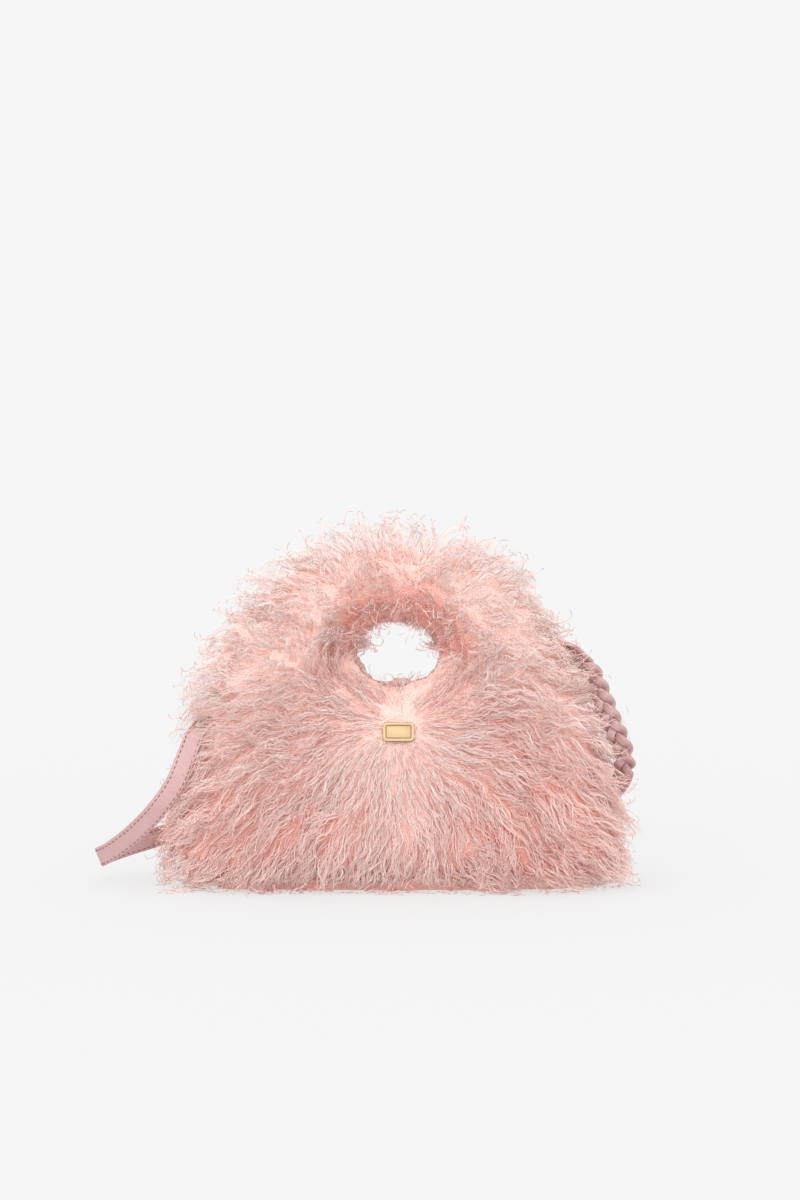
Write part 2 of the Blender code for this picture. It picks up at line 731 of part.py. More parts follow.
def main():
    clear_scene()
    suede = principled("suede hide", (0.70, 0.45, 0.42), 0.9)
    padding = principled("padded roll", (0.72, 0.48, 0.45), 0.9)
    shearling = principled("curly shearling", (0.80, 0.46, 0.41), 0.95)
    leather = principled("pink calf leather", (0.64, 0.40, 0.39), 0.5)
    gold = principled("pale gold", (0.90, 0.72, 0.46), 0.22, 1.0)

    make_pouch(suede)
    make_handle(padding)

    seat = plaque_seat()
    plaque = fused_object("plaque", plaque_mesh(0.0, 0.0), gold)
    plaque_room = fused_object("plaque_room", plaque_mesh(PILE_GAP, PILE_DEPTH))
    for obj in bpy.data.objects:
        if obj.name.startswith("plaque"):
            obj.matrix_world = seat
    as_cutter(plaque_room)

    route, ends = whole_route()
    frames = smooth_route(route, STRAP_STEP)
    strap_frames = cut_route(frames, ends["start"], ends["strap"], SEAT_GAP)
    plait_frames = cut_route(frames, ends["strap"], ends["plait"], SEAT_GAP)
    tab_frames = cut_route(frames, ends["plait"], ends["tab"], SEAT_GAP)
    new_object("strap", band_mesh("strap", strap_frames, STRAP_WIDTH, STRAP_THICKNESS), leather)
    new_object("strap_tab", band_mesh("strap_tab", tab_frames, STRAP_WIDTH, STRAP_THICKNESS), leather)
    fine = smooth_route([frame[:2] for frame in plait_frames], LACE_STEP)
    for lace in range(3):
        mesh = band_mesh("lace", lace_frames(fine, lace), LACE_WIDTH, LACE_THICKNESS)
        new_object(f"plait_lace_{lace + 1}", mesh, leather)

    room = 2 * STRAP_PILE_GAP
    band_room = band_mesh(
        "band_room", lengthened(strap_frames), STRAP_WIDTH + room, STRAP_THICKNESS + room
    )
    plait_room = band_mesh(
        "plait_room", lengthened(plait_frames + tab_frames), PLAIT_WIDTH + room, PLAIT_THICKNESS + room
    )
    round_hide = skin_rings(even_skin(PILE_GAP), whole_rows(), HIDE_SIDES)
    hide_room = mesh_of_rings("hide_room", round_hide, ring_of_rings=True)
    cutters = [
        as_cutter(new_object("hide_room", hide_room)),
        mouth_cutter("pile_mouth", MOUTH_TRIM, MOUTH_GAP / 2),
        as_cutter(new_object("strap_room", band_room)),
        as_cutter(new_object("plait_room", plait_room)),
    ]
    chance = random.Random(LOCK_SHAPE_SEED)
    locks = [lock_mesh(*place, chance) for place in lock_places()]
    locks = [lock for lock in locks if not covers_strap(lock, frames)]
    make_shearling(locks, cutters, plaque_room, shearling)


main()
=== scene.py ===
# %% [markdown]
# # A mini hobo bag in curly shearling
# This notebook dresses a small handbag. The solids of the bag are already made: a hollow leather
# pouch, a padded handle, the outer form of the pile, a plaque and a shoulder strap. They give every
# size and place. What is missing is what the eye sees first, the hair. So most of the cells below
# are about growing hair: where it roots, which way it lies, how it gathers into curls.

import math

import bpy
import numpy as np
from mathutils import Matrix, Vector
from mathutils.bvhtree import BVHTree
from mathutils.kdtree import KDTree


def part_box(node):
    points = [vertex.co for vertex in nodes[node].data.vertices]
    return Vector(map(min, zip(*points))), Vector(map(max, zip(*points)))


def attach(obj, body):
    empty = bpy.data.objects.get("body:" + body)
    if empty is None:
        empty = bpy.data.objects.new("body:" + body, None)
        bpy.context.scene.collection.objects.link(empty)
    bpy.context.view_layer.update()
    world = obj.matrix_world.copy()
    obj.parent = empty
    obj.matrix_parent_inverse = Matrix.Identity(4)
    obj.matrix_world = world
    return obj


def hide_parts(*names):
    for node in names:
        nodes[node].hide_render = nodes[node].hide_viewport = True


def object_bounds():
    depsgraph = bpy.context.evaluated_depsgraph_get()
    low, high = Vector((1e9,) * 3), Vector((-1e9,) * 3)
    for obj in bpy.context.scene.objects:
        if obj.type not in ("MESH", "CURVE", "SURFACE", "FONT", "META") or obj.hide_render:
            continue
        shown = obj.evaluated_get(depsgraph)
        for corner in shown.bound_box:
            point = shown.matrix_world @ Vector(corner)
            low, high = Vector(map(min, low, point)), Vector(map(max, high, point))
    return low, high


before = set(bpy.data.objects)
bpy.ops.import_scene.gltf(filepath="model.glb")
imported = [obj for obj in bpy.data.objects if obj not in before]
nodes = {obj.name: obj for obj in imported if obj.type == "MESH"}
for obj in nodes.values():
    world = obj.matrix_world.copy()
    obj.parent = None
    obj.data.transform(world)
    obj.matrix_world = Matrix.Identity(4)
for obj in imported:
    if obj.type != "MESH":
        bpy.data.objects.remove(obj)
cad_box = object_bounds()
MM = 0.001
print("the bag without its hair:", [round(side / MM) for side in cad_box[1] - cad_box[0]], "mm")

# %% [markdown]
# ## The photograph's frame
# A studio camera stands far off with a long lens, a little above the bag, so the outline is hardly
# distorted. The bag is small in a tall frame, with its base at about three quarters of the height.
# One way to place the camera is by eye. It is surer to work from the scale: the whole frame is 672
# mm high at the bag, and the lens follows from the distance.

# %% Camera
FRAME_HIGH = 672 * MM
CAMERA_DISTANCE = 4.0
CAMERA_ELEVATION = math.radians(8)
LOOK_AT = Vector((2.8, -50, 169.2)) * MM
BAG_CENTRE = Vector((0, -20, 100)) * MM
SENSOR = 36.0

camera = bpy.data.objects.new("camera", bpy.data.cameras.new("camera"))
bpy.context.scene.collection.objects.link(camera)
back = Vector((0, -math.cos(CAMERA_ELEVATION), math.sin(CAMERA_ELEVATION)))
camera.location = BAG_CENTRE + back * CAMERA_DISTANCE
camera.location.x = LOOK_AT.x
sight = LOOK_AT - camera.location
camera.rotation_euler = sight.to_track_quat("-Z", "Y").to_euler()
camera.data.sensor_width = SENSOR
camera.data.lens = SENSOR / FRAME_HIGH * sight.length
camera.data.clip_end = 100
bpy.context.scene.camera = camera
print("lens", round(camera.data.lens), "mm")

# %% [markdown]
# ## Light
# The studio is white all round, so the shadows are faint and the hair glows. A bright sky alone
# would be flat. A wide sun from above and a little to the left adds the soft darkening under the
# handle, and a weaker one beside the camera fills the front. Light is let through many hairs before
# it is given up, because fleece gets its colour from light that has passed from hair to hair. The
# colours are shown plainly, without a film curve, so that the floor's near-white stays near-white.


# %% Sky, suns and floor
SKY_STRENGTH = 1.42
SUN_WIDTH = math.radians(70)
# For each lamp its energy, and its lean and turn in degrees.
SUNS = {"soft sun": (0.55, 28, -16), "front fill": (1.3, 76, -6)}
BOUNCES = 20
FLOOR_GREY = 0.16
FLOOR_GLOW = 0.65


def make_light():
    world = bpy.data.worlds.new("studio")
    world.use_nodes = True
    sky = world.node_tree.nodes["Background"]
    sky.inputs["Color"].default_value = (1.0, 1.0, 1.0, 1)
    sky.inputs["Strength"].default_value = SKY_STRENGTH
    bpy.context.scene.world = world
    for name, (energy, lean, turn) in SUNS.items():
        sun = bpy.data.lights.new(name, "SUN")
        sun.energy = energy
        sun.angle = SUN_WIDTH
        lamp = bpy.data.objects.new(name, sun)
        lamp.rotation_euler = (math.radians(lean), math.radians(turn), 0)
        bpy.context.scene.collection.objects.link(lamp)
    bpy.context.scene.view_settings.view_transform = "Standard"
    bpy.context.scene.cycles.max_bounces = BOUNCES
    bpy.context.scene.cycles.diffuse_bounces = BOUNCES


def make_floor():
    bpy.ops.object.select_all(action="DESELECT")
    bpy.ops.mesh.primitive_plane_add(size=120)
    floor = bpy.context.object
    floor.name = "studio_floor"
    paper = bpy.data.materials.new("white paper")
    paper.use_nodes = True
    shader = paper.node_tree.nodes["Principled BSDF"]
    shader.inputs["Base Color"].default_value = (FLOOR_GREY, FLOOR_GREY, FLOOR_GREY, 1)
    shader.inputs["Emission Color"].default_value = (1, 1, 1, 1)
    shader.inputs["Emission Strength"].default_value = FLOOR_GLOW
    shader.inputs["Roughness"].default_value = 0.9
    shader.inputs["Specular IOR Level"].default_value = 0.0
    floor.data.materials.append(paper)


make_light()
make_floor()

# %% [markdown]
# ## Shader maths
# A material's pattern is a small sum, and sums are easiest to read as sums. This class wraps a
# node's output so that `a * b + 1` adds the Math nodes by itself. Colours are mixed with their own
# node, because a Math node would turn them grey.


# %% A socket that can be added and multiplied
class Value:
    def __init__(self, tree, socket):
        self.tree, self.socket = tree, socket

    def node(self, kind, settings=None, output=0, **inputs):
        made = self.tree.nodes.new(kind)
        for key, setting in (settings or {}).items():
            setattr(made, key, setting)
        for key, given in inputs.items():
            name = int(key[1:]) if key[1:].isdigit() else key.replace("_", " ")
            place = made.inputs[name]
            if isinstance(given, Value):
                self.tree.links.new(given.socket, place)
            else:
                place.default_value = given
        return Value(self.tree, made.outputs[output])

    def math(self, operation, *others):
        values = {f"_{index}": other for index, other in enumerate((self, *others))}
        return self.node("ShaderNodeMath", {"operation": operation}, **values)

    def __add__(self, other):
        return self.math("ADD", other)

    __radd__ = __add__

    def __mul__(self, other):
        return self.math("MULTIPLY", other)

    __rmul__ = __mul__

    def clamped(self):
        return self.node("ShaderNodeClamp", Value=self)

    def step(self, low, high):
        return self.node("ShaderNodeMapRange", {"interpolation_type": "SMOOTHSTEP"},
                         Value=self, From_Min=low, From_Max=high)

    def mix(self, dark, light):
        """Between two colours, by this value."""
        return self.node("ShaderNodeMix", {"data_type": "RGBA"}, 2, _0=self, _6=dark, _7=light)

    def noise(self, scale, detail):
        """Clouds, read at this place."""
        return self.node("ShaderNodeTexNoise", Vector=self, Scale=scale, Detail=detail)

    def bump(self, strength, distance):
        """The tilt of a surface that this value raises."""
        return self.node("ShaderNodeBump", Strength=strength, Distance=distance, Height=self)


def new_material(name, roughness, **constants):
    """A material, its shader and a first value of its tree to build sums from."""
    material = bpy.data.materials.new(name)
    material.use_nodes = True
    shader = material.node_tree.nodes["Principled BSDF"]
    shader.inputs["Roughness"].default_value = roughness
    for key, number in constants.items():
        shader.inputs[key.replace("_", " ")].default_value = number
    return material, shader, Value(material.node_tree, None)


def place_on(start):
    """The place on the object, in metres, which all patterns but the hair's are read at."""
    return start.node("ShaderNodeTexCoord", output=3)


def feed(value, shader, name):
    value.tree.links.new(value.socket, shader.inputs[name])


# %% [markdown]
# ## The hide, as a surface to root hair on
# Real hair stands in the skin of the sheep. The skin's solids are the pouch and the handle, but
# only their outsides carry hair, not the inside of the pouch. To tell them apart, a ray is sent out
# from each triangle: where it meets the pile at once, the triangle is an outside one.


# %% Find the hairy triangles
def corners_of(mesh):
    """An array with each triangle's three corners."""
    mesh.calc_loop_triangles()
    places = np.array([vertex.co for vertex in mesh.vertices])
    return places[np.array([t.vertices for t in mesh.loop_triangles])]


def triangles_of(*names):
    """The corners of the triangles of some solids."""
    return np.concatenate([corners_of(nodes[name].data) for name in names])


def tree_of(triangles):
    corners = [Vector(corner) for corner in triangles.reshape(-1, 3)]
    return BVHTree.FromPolygons(corners, np.arange(len(corners)).reshape(-1, 3).tolist())


hide_triangles = triangles_of("pouch", "handle")
pile_triangles = triangles_of("shearling_front", "shearling_back", "shearling_base")
hide_tree, pile_tree = tree_of(hide_triangles), tree_of(pile_triangles)
strap_names = [name for name in nodes if name.startswith(("strap", "plait"))]
strap_tree = tree_of(triangles_of(*strap_names))
plaque_low, plaque_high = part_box("plaque")
PLAQUE_PLACE = np.array((plaque_low + plaque_high) / 2)


def normals_of(triangles):
    crossed = np.cross(triangles[:, 1] - triangles[:, 0], triangles[:, 2] - triangles[:, 0])
    return crossed / np.linalg.norm(crossed, axis=1, keepdims=True).clip(1e-12)


LOOK_OUT = 2.5 * MM


def is_hairy(place, normal):
    start = Vector(place + normal * 0.05 * MM)
    way = Vector(normal)
    meets_pile, meets_hide = (
        tree.ray_cast(start, way, LOOK_OUT)[0] is not None for tree in (pile_tree, hide_tree)
    )
    return meets_pile and not meets_hide


hide_normals = normals_of(hide_triangles)
hairy = np.array([is_hairy(t.mean(0), n) for t, n in zip(hide_triangles, hide_normals)])
print(hairy.sum(), "of", len(hairy), "triangles of the hide carry hair")

# %% [markdown]
# ## Where hair roots
# Hair is scattered by chance over the triangles, more of it on the front, and then thinned so that
# no two clumps stand too close. Even spacing is what makes fur look grown and not sprinkled. The
# hide is faceted, so each root's direction is taken as the average of the facets round it.

# %% Scatter and thin
chance = np.random.default_rng(7)
FRONT_SHARE, BACK_SHARE = 1.45, 0.6
PLAQUE_SPACING, BASE_SPACING = 0.66, 0.82


def ramp(numbers, start, end):
    """0 up to start and 1 from end on, evenly rising between them. start and end are in mm."""
    return np.clip((numbers / MM - start) / (end - start), 0, 1)


def seen_apart(places, centre):
    """The distance of places from a centre as seen from the front."""
    return np.linalg.norm((places - centre)[..., (0, 2)], axis=-1)


def scattered(count):
    """Places on the hairy hide."""
    chosen = hide_triangles[hairy]
    sides = chosen[:, 1:] - chosen[:, :1]
    areas = np.linalg.norm(np.cross(sides[:, 0], sides[:, 1]), axis=1)
    areas *= np.where(chosen[:, :, 1].mean(1) < 0, FRONT_SHARE, BACK_SHARE)
    picks = chance.choice(len(chosen), count, p=areas / areas.sum())
    a, b = chance.random((2, count, 1))
    flip = (a + b) > 1
    a, b = np.where(flip, 1 - a, a), np.where(flip, 1 - b, b)
    one, two, three = chosen[picks].swapaxes(0, 1)
    return one + a * (two - one) + b * (three - one)


def thinned(places, spacing):
    """The places kept when each keeps the spacing to all that were kept before it. The spacing is
    wider on the back. It is narrower at the base, and round the plaque, where hair is too short to
    hide its roots."""
    cells, kept = {}, []
    for index, place in enumerate(places):
        own = spacing / math.sqrt(FRONT_SHARE if place[1] < 0 else BACK_SHARE)
        if place[1] < 0:
            far = ramp(seen_apart(place, PLAQUE_PLACE), 0, 45)
            own *= PLAQUE_SPACING + (1 - PLAQUE_SPACING) * far
        if place[2] < 13 * MM:
            own *= BASE_SPACING
        cell = tuple((place // (2 * spacing)).astype(int))
        near = (
            other
            for dx in (-1, 0, 1) for dy in (-1, 0, 1) for dz in (-1, 0, 1)
            for other in cells.get((cell[0] + dx, cell[1] + dy, cell[2] + dz), ())
        )
        if all(np.sum((places[other] - place) ** 2) > own * own for other in near):
            cells.setdefault(cell, []).append(index)
            kept.append(index)
    return places[kept]


facet_tree = KDTree(int(hairy.sum()))
facet_normals = hide_normals[hairy]
for index, centre in enumerate(hide_triangles[hairy].mean(1)):
    facet_tree.insert(centre, index)
facet_tree.balance()


def unit(vectors):
    return vectors / np.linalg.norm(vectors, axis=-1, keepdims=True).clip(1e-9)


def smooth_normals(places):
    found = np.zeros_like(places)
    for index, place in enumerate(places):
        for _, facet, away in facet_tree.find_n(place, 10):
            found[index] += facet_normals[facet] / (away + 4 * MM)
    return unit(found)


# %% [markdown]
# ## Which way hair lies
# On the front all hair is combed away from the plaque, like rays. It starts short and flat round
# the plaque and gets longer, wavier and looser further out. On the back it hangs from the mouth. On
# the handle it stands out. A slow ripple turns the direction a little from place to place, so that
# neighbouring locks cross.

# %% Flow of the pile
HOLE_PLACE = np.array((2.0, 0.0, 133.5)) * MM
MOUTH_PLACE = np.array((2.0, 0.0, 104.0)) * MM
FAR_AWAY = 1.0
RIPPLES = 6
ripple_ways = chance.normal(size=(RIPPLES, 3))
ripple_shifts = chance.random(RIPPLES) * 2 * math.pi


def ripple(places, size):
    """A smooth random number from about -1 to 1, changing over the given size."""
    turns = places / size @ unit(ripple_ways).T * 2 * math.pi * np.linspace(0.6, 1.4, RIPPLES)
    return np.sin(turns + ripple_shifts).mean(1) * 1.8


def from_plaque(places):
    """The distance from the plaque's middle on the front, and far away on the back."""
    return np.where(places[:, 1] < 0, seen_apart(places, PLAQUE_PLACE), FAR_AWAY)


def looseness(places):
    """0 at the plaque, where hair is straight and flat, and 1 where it curls freely."""
    return ramp(from_plaque(places), 12, 67)


def flow_of(places, normals):
    """The way hair is combed: away from a centre, a little down, and rippled."""
    on_handle = ramp(places[:, 2], 128, 158)[:, None]
    centre = np.where(places[:, 1:2] < 0, PLAQUE_PLACE, MOUTH_PLACE) * (1 - on_handle)
    way = places - (centre + HOLE_PLACE * on_handle)
    way[:, 1] *= 0.3
    way[:, 1] += np.sign(places[:, 1]) * (1 - ramp(places[:, 2], 2, 32)) * 45 * MM
    way = unit(way) + np.array((0, 0, -0.22)) * (1 - on_handle)
    way = unit(way - normals * np.sum(way * normals, axis=1, keepdims=True))
    side = np.cross(normals, way)
    turn = 0.6 * ripple(places, 34 * MM) + 0.55 * ripple(places[:, ::-1], 12 * MM)
    turn = (turn * (0.2 + 0.8 * looseness(places)))[:, None]
    return way * np.cos(turn) + side * np.sin(turn)


# %% Tone with painted shade, depth and length of the pile
PALEST_FAN = 0.60
PILE_REACH = 28 * MM
BARE_DEPTH = 8 * MM
LEAST_DEPTH, MOST_DEPTH = 4 * MM, 24 * MM
HOLE_FILL, CROWN = 4.5 * MM, 9 * MM
SHORTEST, LONGER = 13 * MM, 17 * MM


def tone_and_shade_of(places):
    """How pale the wool is painted: 1 on the shoulders and at the plaque, 0 in the hole and at the
    base. Most of it is painted shade: darker lower down, near the floor, and under the handle round
    the top of the grip hole. It is also a little darker on the right below the middle, paler in a
    fan round the plaque, and varies in slow random clouds.
    """
    x, z = places[:, 0], places[:, 2]
    # painted shade: the wool is darker lower down
    height = 0.33 + 0.63 * ramp(z, 50, 140)
    right = 0.22 * ramp(x, 20, 70) * (1 - ramp(z, 85, 115))
    fan = PALEST_FAN * np.exp(-((x / (32 * MM)) ** 2) - ((z - 58 * MM) / (38 * MM)) ** 2)
    # painted shade near the floor
    base = 0.55 * (1 - ramp(z, 6, 24))
    # painted shade under the handle, round the top of the grip hole
    shade_under_handle = (1 - ramp(seen_apart(places, HOLE_PLACE), 34, 50)) * (z > 132 * MM)
    tone_and_shade = height - right + fan * (places[:, 1] < 0) - base - shade_under_handle
    return np.clip(tone_and_shade + 0.22 * ripple(places, 30 * MM), 0, 1)


def in_hole(places):
    """1 on the rim of the round hole, falling to 0 outside it."""
    inner = np.abs(places[:, 1]) < np.where(places[:, 2] > 120 * MM, 15, 6) * MM
    return (1 - ramp(seen_apart(places, HOLE_PLACE), 36, 50)) * inner


def pile_depths(places, normals):
    """How far the pile's outer form stands out from the hide at each place."""
    depths = []
    for place, normal in zip(places, normals):
        start = Vector(place + normal * PILE_REACH)
        hit = pile_tree.ray_cast(start, Vector(-normal), PILE_REACH)
        depths.append(PILE_REACH - hit[3] if hit[0] is not None else BARE_DEPTH)
    depths = np.clip(np.array(depths), LEAST_DEPTH, MOST_DEPTH)
    into_hole = 2.0 * np.abs(normals[:, 0]) - 0.8 * np.clip(-normals[:, 2], 0, 1)
    crown = ramp(places[:, 2], 150, 175) * np.clip(normals[:, 2], 0, 1)
    return depths + HOLE_FILL * into_hole * in_hole(places) + CROWN * crown


def lengths_of(places):
    """Hair is short at the plaque and on the handle, and longest at the right shoulder."""
    x, y, z = places.T
    long = SHORTEST + LONGER * ramp(from_plaque(places), 6, 56) ** 0.8
    long = long * (1 - 0.42 * ramp(z, 120, 145) + 0.25 * ramp(z, 160, 180))
    right = ramp(x, 88, 108) * (y < 8 * MM) * ramp(z, 50, 75)
    return long * (1 - 0.72 * in_hole(places)) * (1 + 0.6 * right)


# %% [markdown]
# ## Clumps of clumps
# Curly wool gathers twice. A few hairs twist into a strand, and a handful of strands lean together
# into a lock. A scattering of single hairs would look like grass. So the shape of a lock is worked
# out first, then each strand's, pulled towards its lock's, and last the hairs, pulled towards their
# strand's. All of it is arithmetic on arrays, because a loop over a million points would be slow.

# %% Paths of locks and strands
POINTS = 12
LOCK_SPACING = 8.5 * MM
STRAND_SPACING = 4.1 * MM
share = np.linspace(0, 1, POINTS)[None, :, None]


class Growth:
    """Roots with all that decides how hair grows from them."""

    def __init__(self, places):
        self.places = places
        self.normals = smooth_normals(places)
        self.flow = flow_of(places, self.normals)
        self.side = np.cross(self.normals, self.flow)
        self.depth = pile_depths(places, self.normals)
        self.length = lengths_of(places) * chance.uniform(0.85, 1.15, len(places))
        self.loose = looseness(places)
        self.curl_turns = chance.uniform(1.8, 2.8, len(places))
        self.curl_start = chance.uniform(0, 2 * math.pi, len(places))
        self.curl_hand = chance.choice((-1.0, 1.0), len(places))


def column(numbers):
    return numbers[:, None, None]


def paths_of(growth, curl):
    """Each root's path: up through the pile, over along its flow, and round in a widening curl."""
    rise = np.sin(1.85 * share) ** 0.85
    over = share**1.15
    width = column(curl * (0.15 + 0.85 * growth.loose)) * share**0.8
    turn = column(growth.curl_turns) * 2 * math.pi * share**1.15 + column(growth.curl_start)
    up = growth.normals[:, None] * column(growth.depth) * (0.30 + 0.72 * rise)
    along = growth.flow[:, None] * column(growth.length) * over
    along[:, :, 2:] -= column(growth.length * growth.loose) * 0.22 * share**2.2
    sway = growth.side[:, None] * width * np.sin(turn) * column(growth.curl_hand)
    lift = growth.normals[:, None] * width * 0.8 * np.cos(turn)
    return growth.places[:, None] + up + along + sway + lift


def nearest(places, targets):
    tree = KDTree(len(targets))
    for index, target in enumerate(targets):
        tree.insert(target, index)
    tree.balance()
    return np.array([tree.find(place)[1] for place in places])


STRAP_GAP, PLAQUE_GAP = 2.6 * MM, 0.5 * MM


def away_from_trim(place):
    """Whether a root is clear of the strap and of the plaque."""
    covered = strap_tree.find_nearest(Vector(place))[3]
    by_plaque = place[1] < 0 and all(
        abs(place[axis] - PLAQUE_PLACE[axis]) < (plaque_high - plaque_low)[axis] / 2 + PLAQUE_GAP
        for axis in (0, 2)
    )
    return covered > STRAP_GAP and not by_plaque


lock_growth = Growth(thinned(scattered(6000), LOCK_SPACING))
strand_places = thinned(scattered(60000), STRAND_SPACING)
strand_places = np.array([place for place in strand_places if away_from_trim(place)])
strand_growth = Growth(strand_places)
above_floor = (strand_growth.normals[:, 2] > -0.85) | (strand_growth.places[:, 2] > 12 * MM)
print(len(lock_growth.places), "locks,", len(strand_places), "strands")
print(above_floor.sum(), "strands are off the floor")

LOCK_CURL, STRAND_CURL = 3.6 * MM, 3.2 * MM
lock_paths = paths_of(lock_growth, LOCK_CURL)
strand_paths = paths_of(strand_growth, STRAND_CURL)
own_lock = nearest(strand_growth.places, lock_growth.places)
apart = (strand_growth.places - lock_growth.places[own_lock])[:, None]
pull = 0.75 * share**1.1 * column(0.35 + 0.65 * strand_growth.loose)
strand_paths += (lock_paths[own_lock] + 0.5 * apart - strand_paths) * pull

# %% [markdown]
# ## Hairs
# Each strand carries four hairs. They leave the hide a little apart and close up towards the tip.
# Where the wool is loose about one in ten strays: it keeps its distance and curls wider, and such
# strays make the soft fuzz of the outline. Nothing may go through the floor, so a path that dips is
# pressed together in height until its lowest point lies on the floor.

# %% From strands to hairs
HAIRS = 4
SPREAD = 2.3 * MM
STRAY_SHARE = 0.08
WANDER, STRAY_WANDER = 1.1 * MM, 4.5 * MM
FLOOR_GAP, TIP_HEIGHT = 0.4 * MM, 3.0 * MM


def hairs_of(growth, paths):
    """Paths of all hairs, with the number of the strand that each belongs to."""
    owner = np.repeat(np.arange(len(paths)), HAIRS)
    angle = chance.uniform(0, 2 * math.pi, len(owner))
    out = np.sqrt(chance.random(len(owner))) * SPREAD
    root = growth.side[owner] * (np.cos(angle) * out)[:, None]
    root = root + growth.flow[owner] * (np.sin(angle) * out)[:, None]
    stray = chance.random(len(owner)) < STRAY_SHARE * (0.3 + growth.loose[owner])
    closing = column(np.where(stray, -0.6, chance.uniform(0.45, 0.85, len(owner))))
    hairs = paths[owner] + root[:, None] * (1 - closing * share**1.2)
    wander = unit(chance.normal(size=(len(owner), 3)))[:, None]
    hairs = hairs + wander * column(np.where(stray, STRAY_WANDER, WANDER)) * share**1.5
    stretch = column(chance.uniform(0.82, 1.08, len(owner)))
    hairs = hairs[:, :1] + (hairs - hairs[:, :1]) * stretch
    return hairs, owner


def above_the_floor(paths):
    """The paths, the low ones pressed in height so that each ends at its own small height."""
    tip_height = chance.uniform(FLOOR_GAP / MM, TIP_HEIGHT / MM, len(paths)) * MM
    root, lowest = paths[:, 0, 2], paths[:, :, 2].min(1)
    squeeze = np.clip((root - tip_height) / np.maximum(root - lowest, 0.1 * MM), 0.05, 1)
    paths[:, :, 2] = root[:, None] + (paths[:, :, 2] - root[:, None]) * squeeze[:, None]
    paths[:, :, 2] = np.maximum(paths[:, :, 2], FLOOR_GAP)
    return paths


ROOM = 9 * MM
hairs, owner = hairs_of(strand_growth, strand_paths)
keep = above_floor[owner]
hairs, owner = hairs[keep], owner[keep]
hairs = above_the_floor(hairs)
low, high = np.array(cad_box[0]) - ROOM, np.array(cad_box[1]) + ROOM
hairs[:, :, :2] = np.clip(hairs, low, high)[:, :, :2]
hairs[:, :, 2] = np.minimum(hairs[:, :, 2], high[2])
print(len(hairs), "hairs")

# %% [markdown]
# ## A hair's mesh
# A hair could be a curve with a bevel, but twelve thousand curves are heavy to convert. Instead the
# rings of a three-sided tube are laid round every path at once. Three sides are enough for
# something less than a millimetre thick, and smooth shading rounds them. The tube tapers to a
# closed tip, and its root is closed with one triangle.

# %% Tubes round the paths
SIDES = 3
HAIR_RADIUS = 0.46 * MM
HAIR_FLATNESS = 0.45


def tube_places(paths, radii, sideways, flatness):
    """The rings of each tube, and after them its tip."""
    ahead = unit(np.gradient(paths, axis=1))
    sideways = sideways[:, None]
    across = unit(sideways - ahead * np.sum(sideways * ahead, axis=2, keepdims=True))
    up = np.cross(ahead, across) * flatness
    angles = (2 * math.pi * np.arange(SIDES) / SIDES)[:, None]
    around = across[:, :-1, None] * np.cos(angles) + up[:, :-1, None] * np.sin(angles)
    rings = paths[:, :-1, None] + around * radii[:, :-1, None, None]
    return np.concatenate([rings.reshape(len(paths), -1, 3), paths[:, -1:]], axis=1)


def tube_faces(points):
    """The corners of one tube's faces: the quads, the triangles at the tip, and the root's."""
    ring = np.arange(points - 2)[:, None] * SIDES
    here, there = np.arange(SIDES), (np.arange(SIDES) + 1) % SIDES
    after = ring + SIDES
    quads = np.stack([ring + here, ring + there, after + there, after + here], axis=-1)
    top = (points - 2) * SIDES
    tips = np.stack([top + here, top + there, np.full(SIDES, top + SIDES)], axis=-1)
    return quads.reshape(-1, 4), tips, here[::-1]


# %% [markdown]
# ## The hair's UV map
# A hair is too thin for a picture, but its material still has to know how far along it is and how
# pale it should be. Both go into the UV map. Its height runs from root to tip, and its width is cut
# into sixty-four columns, one for each tint, so that a hair's column is its tint.

# %% UV map and mesh
TINTS = 64


def tube_uv(quads, corners, points):
    """The UV places of one tube's corners, across its own column and along it."""
    sides = 0.25 * (np.arange(len(quads) + SIDES) % SIDES)[:, None] + (0.1, 0.4)
    tip_sides = sides[len(quads):]
    across = np.concatenate([
        sides[:len(quads)][:, [0, 1, 1, 0]].ravel(),
        np.column_stack([tip_sides, tip_sides.mean(1)]).ravel(),
        [0.1, 0.5, 0.9],
    ])
    along = np.minimum(corners // SIDES, points - 1) / (points - 1)
    along[-SIDES:] = [0.0, 0.01, 0.0]
    return across, along * 0.98 + 0.01


def tube_mesh(name, paths, radii, tints, sideways, flatness=1.0):
    """One mesh of closed tapered tubes. paths is (hairs, points, 3), radii the same without the 3.
    A tube is wide in its own sideways direction, and flatness is its thickness beside that."""
    count, points = paths.shape[:2]
    places = tube_places(paths, radii, sideways, flatness)
    quads, tips, root = tube_faces(points)
    corners = np.concatenate([quads.ravel(), tips.ravel(), root])
    sizes = np.tile(np.repeat((4, 3), (len(quads), len(tips) + 1)), count)
    across, along = tube_uv(quads, corners, points)
    u = (tints[:, None] + across) / TINTS
    corners = (corners + np.arange(count)[:, None] * places.shape[1]).ravel()

    mesh = bpy.data.meshes.new(name)
    mesh.vertices.add(places.size // 3)
    mesh.vertices.foreach_set("co", places.astype(np.float32).ravel())
    mesh.loops.add(len(corners))
    mesh.loops.foreach_set("vertex_index", corners.astype(np.int32))
    mesh.polygons.add(len(sizes))
    starts = np.cumsum(sizes) - sizes
    mesh.polygons.foreach_set("loop_start", starts.astype(np.int32))
    mesh.polygons.foreach_set("use_smooth", np.ones(len(sizes), bool))
    mesh.update(calc_edges=True)
    uv = np.stack([u, np.broadcast_to(along, u.shape)], axis=-1)
    mesh.uv_layers.new(name="OFBake").data.foreach_set("uv", uv.astype(np.float32).ravel())
    mesh.validate()
    return mesh
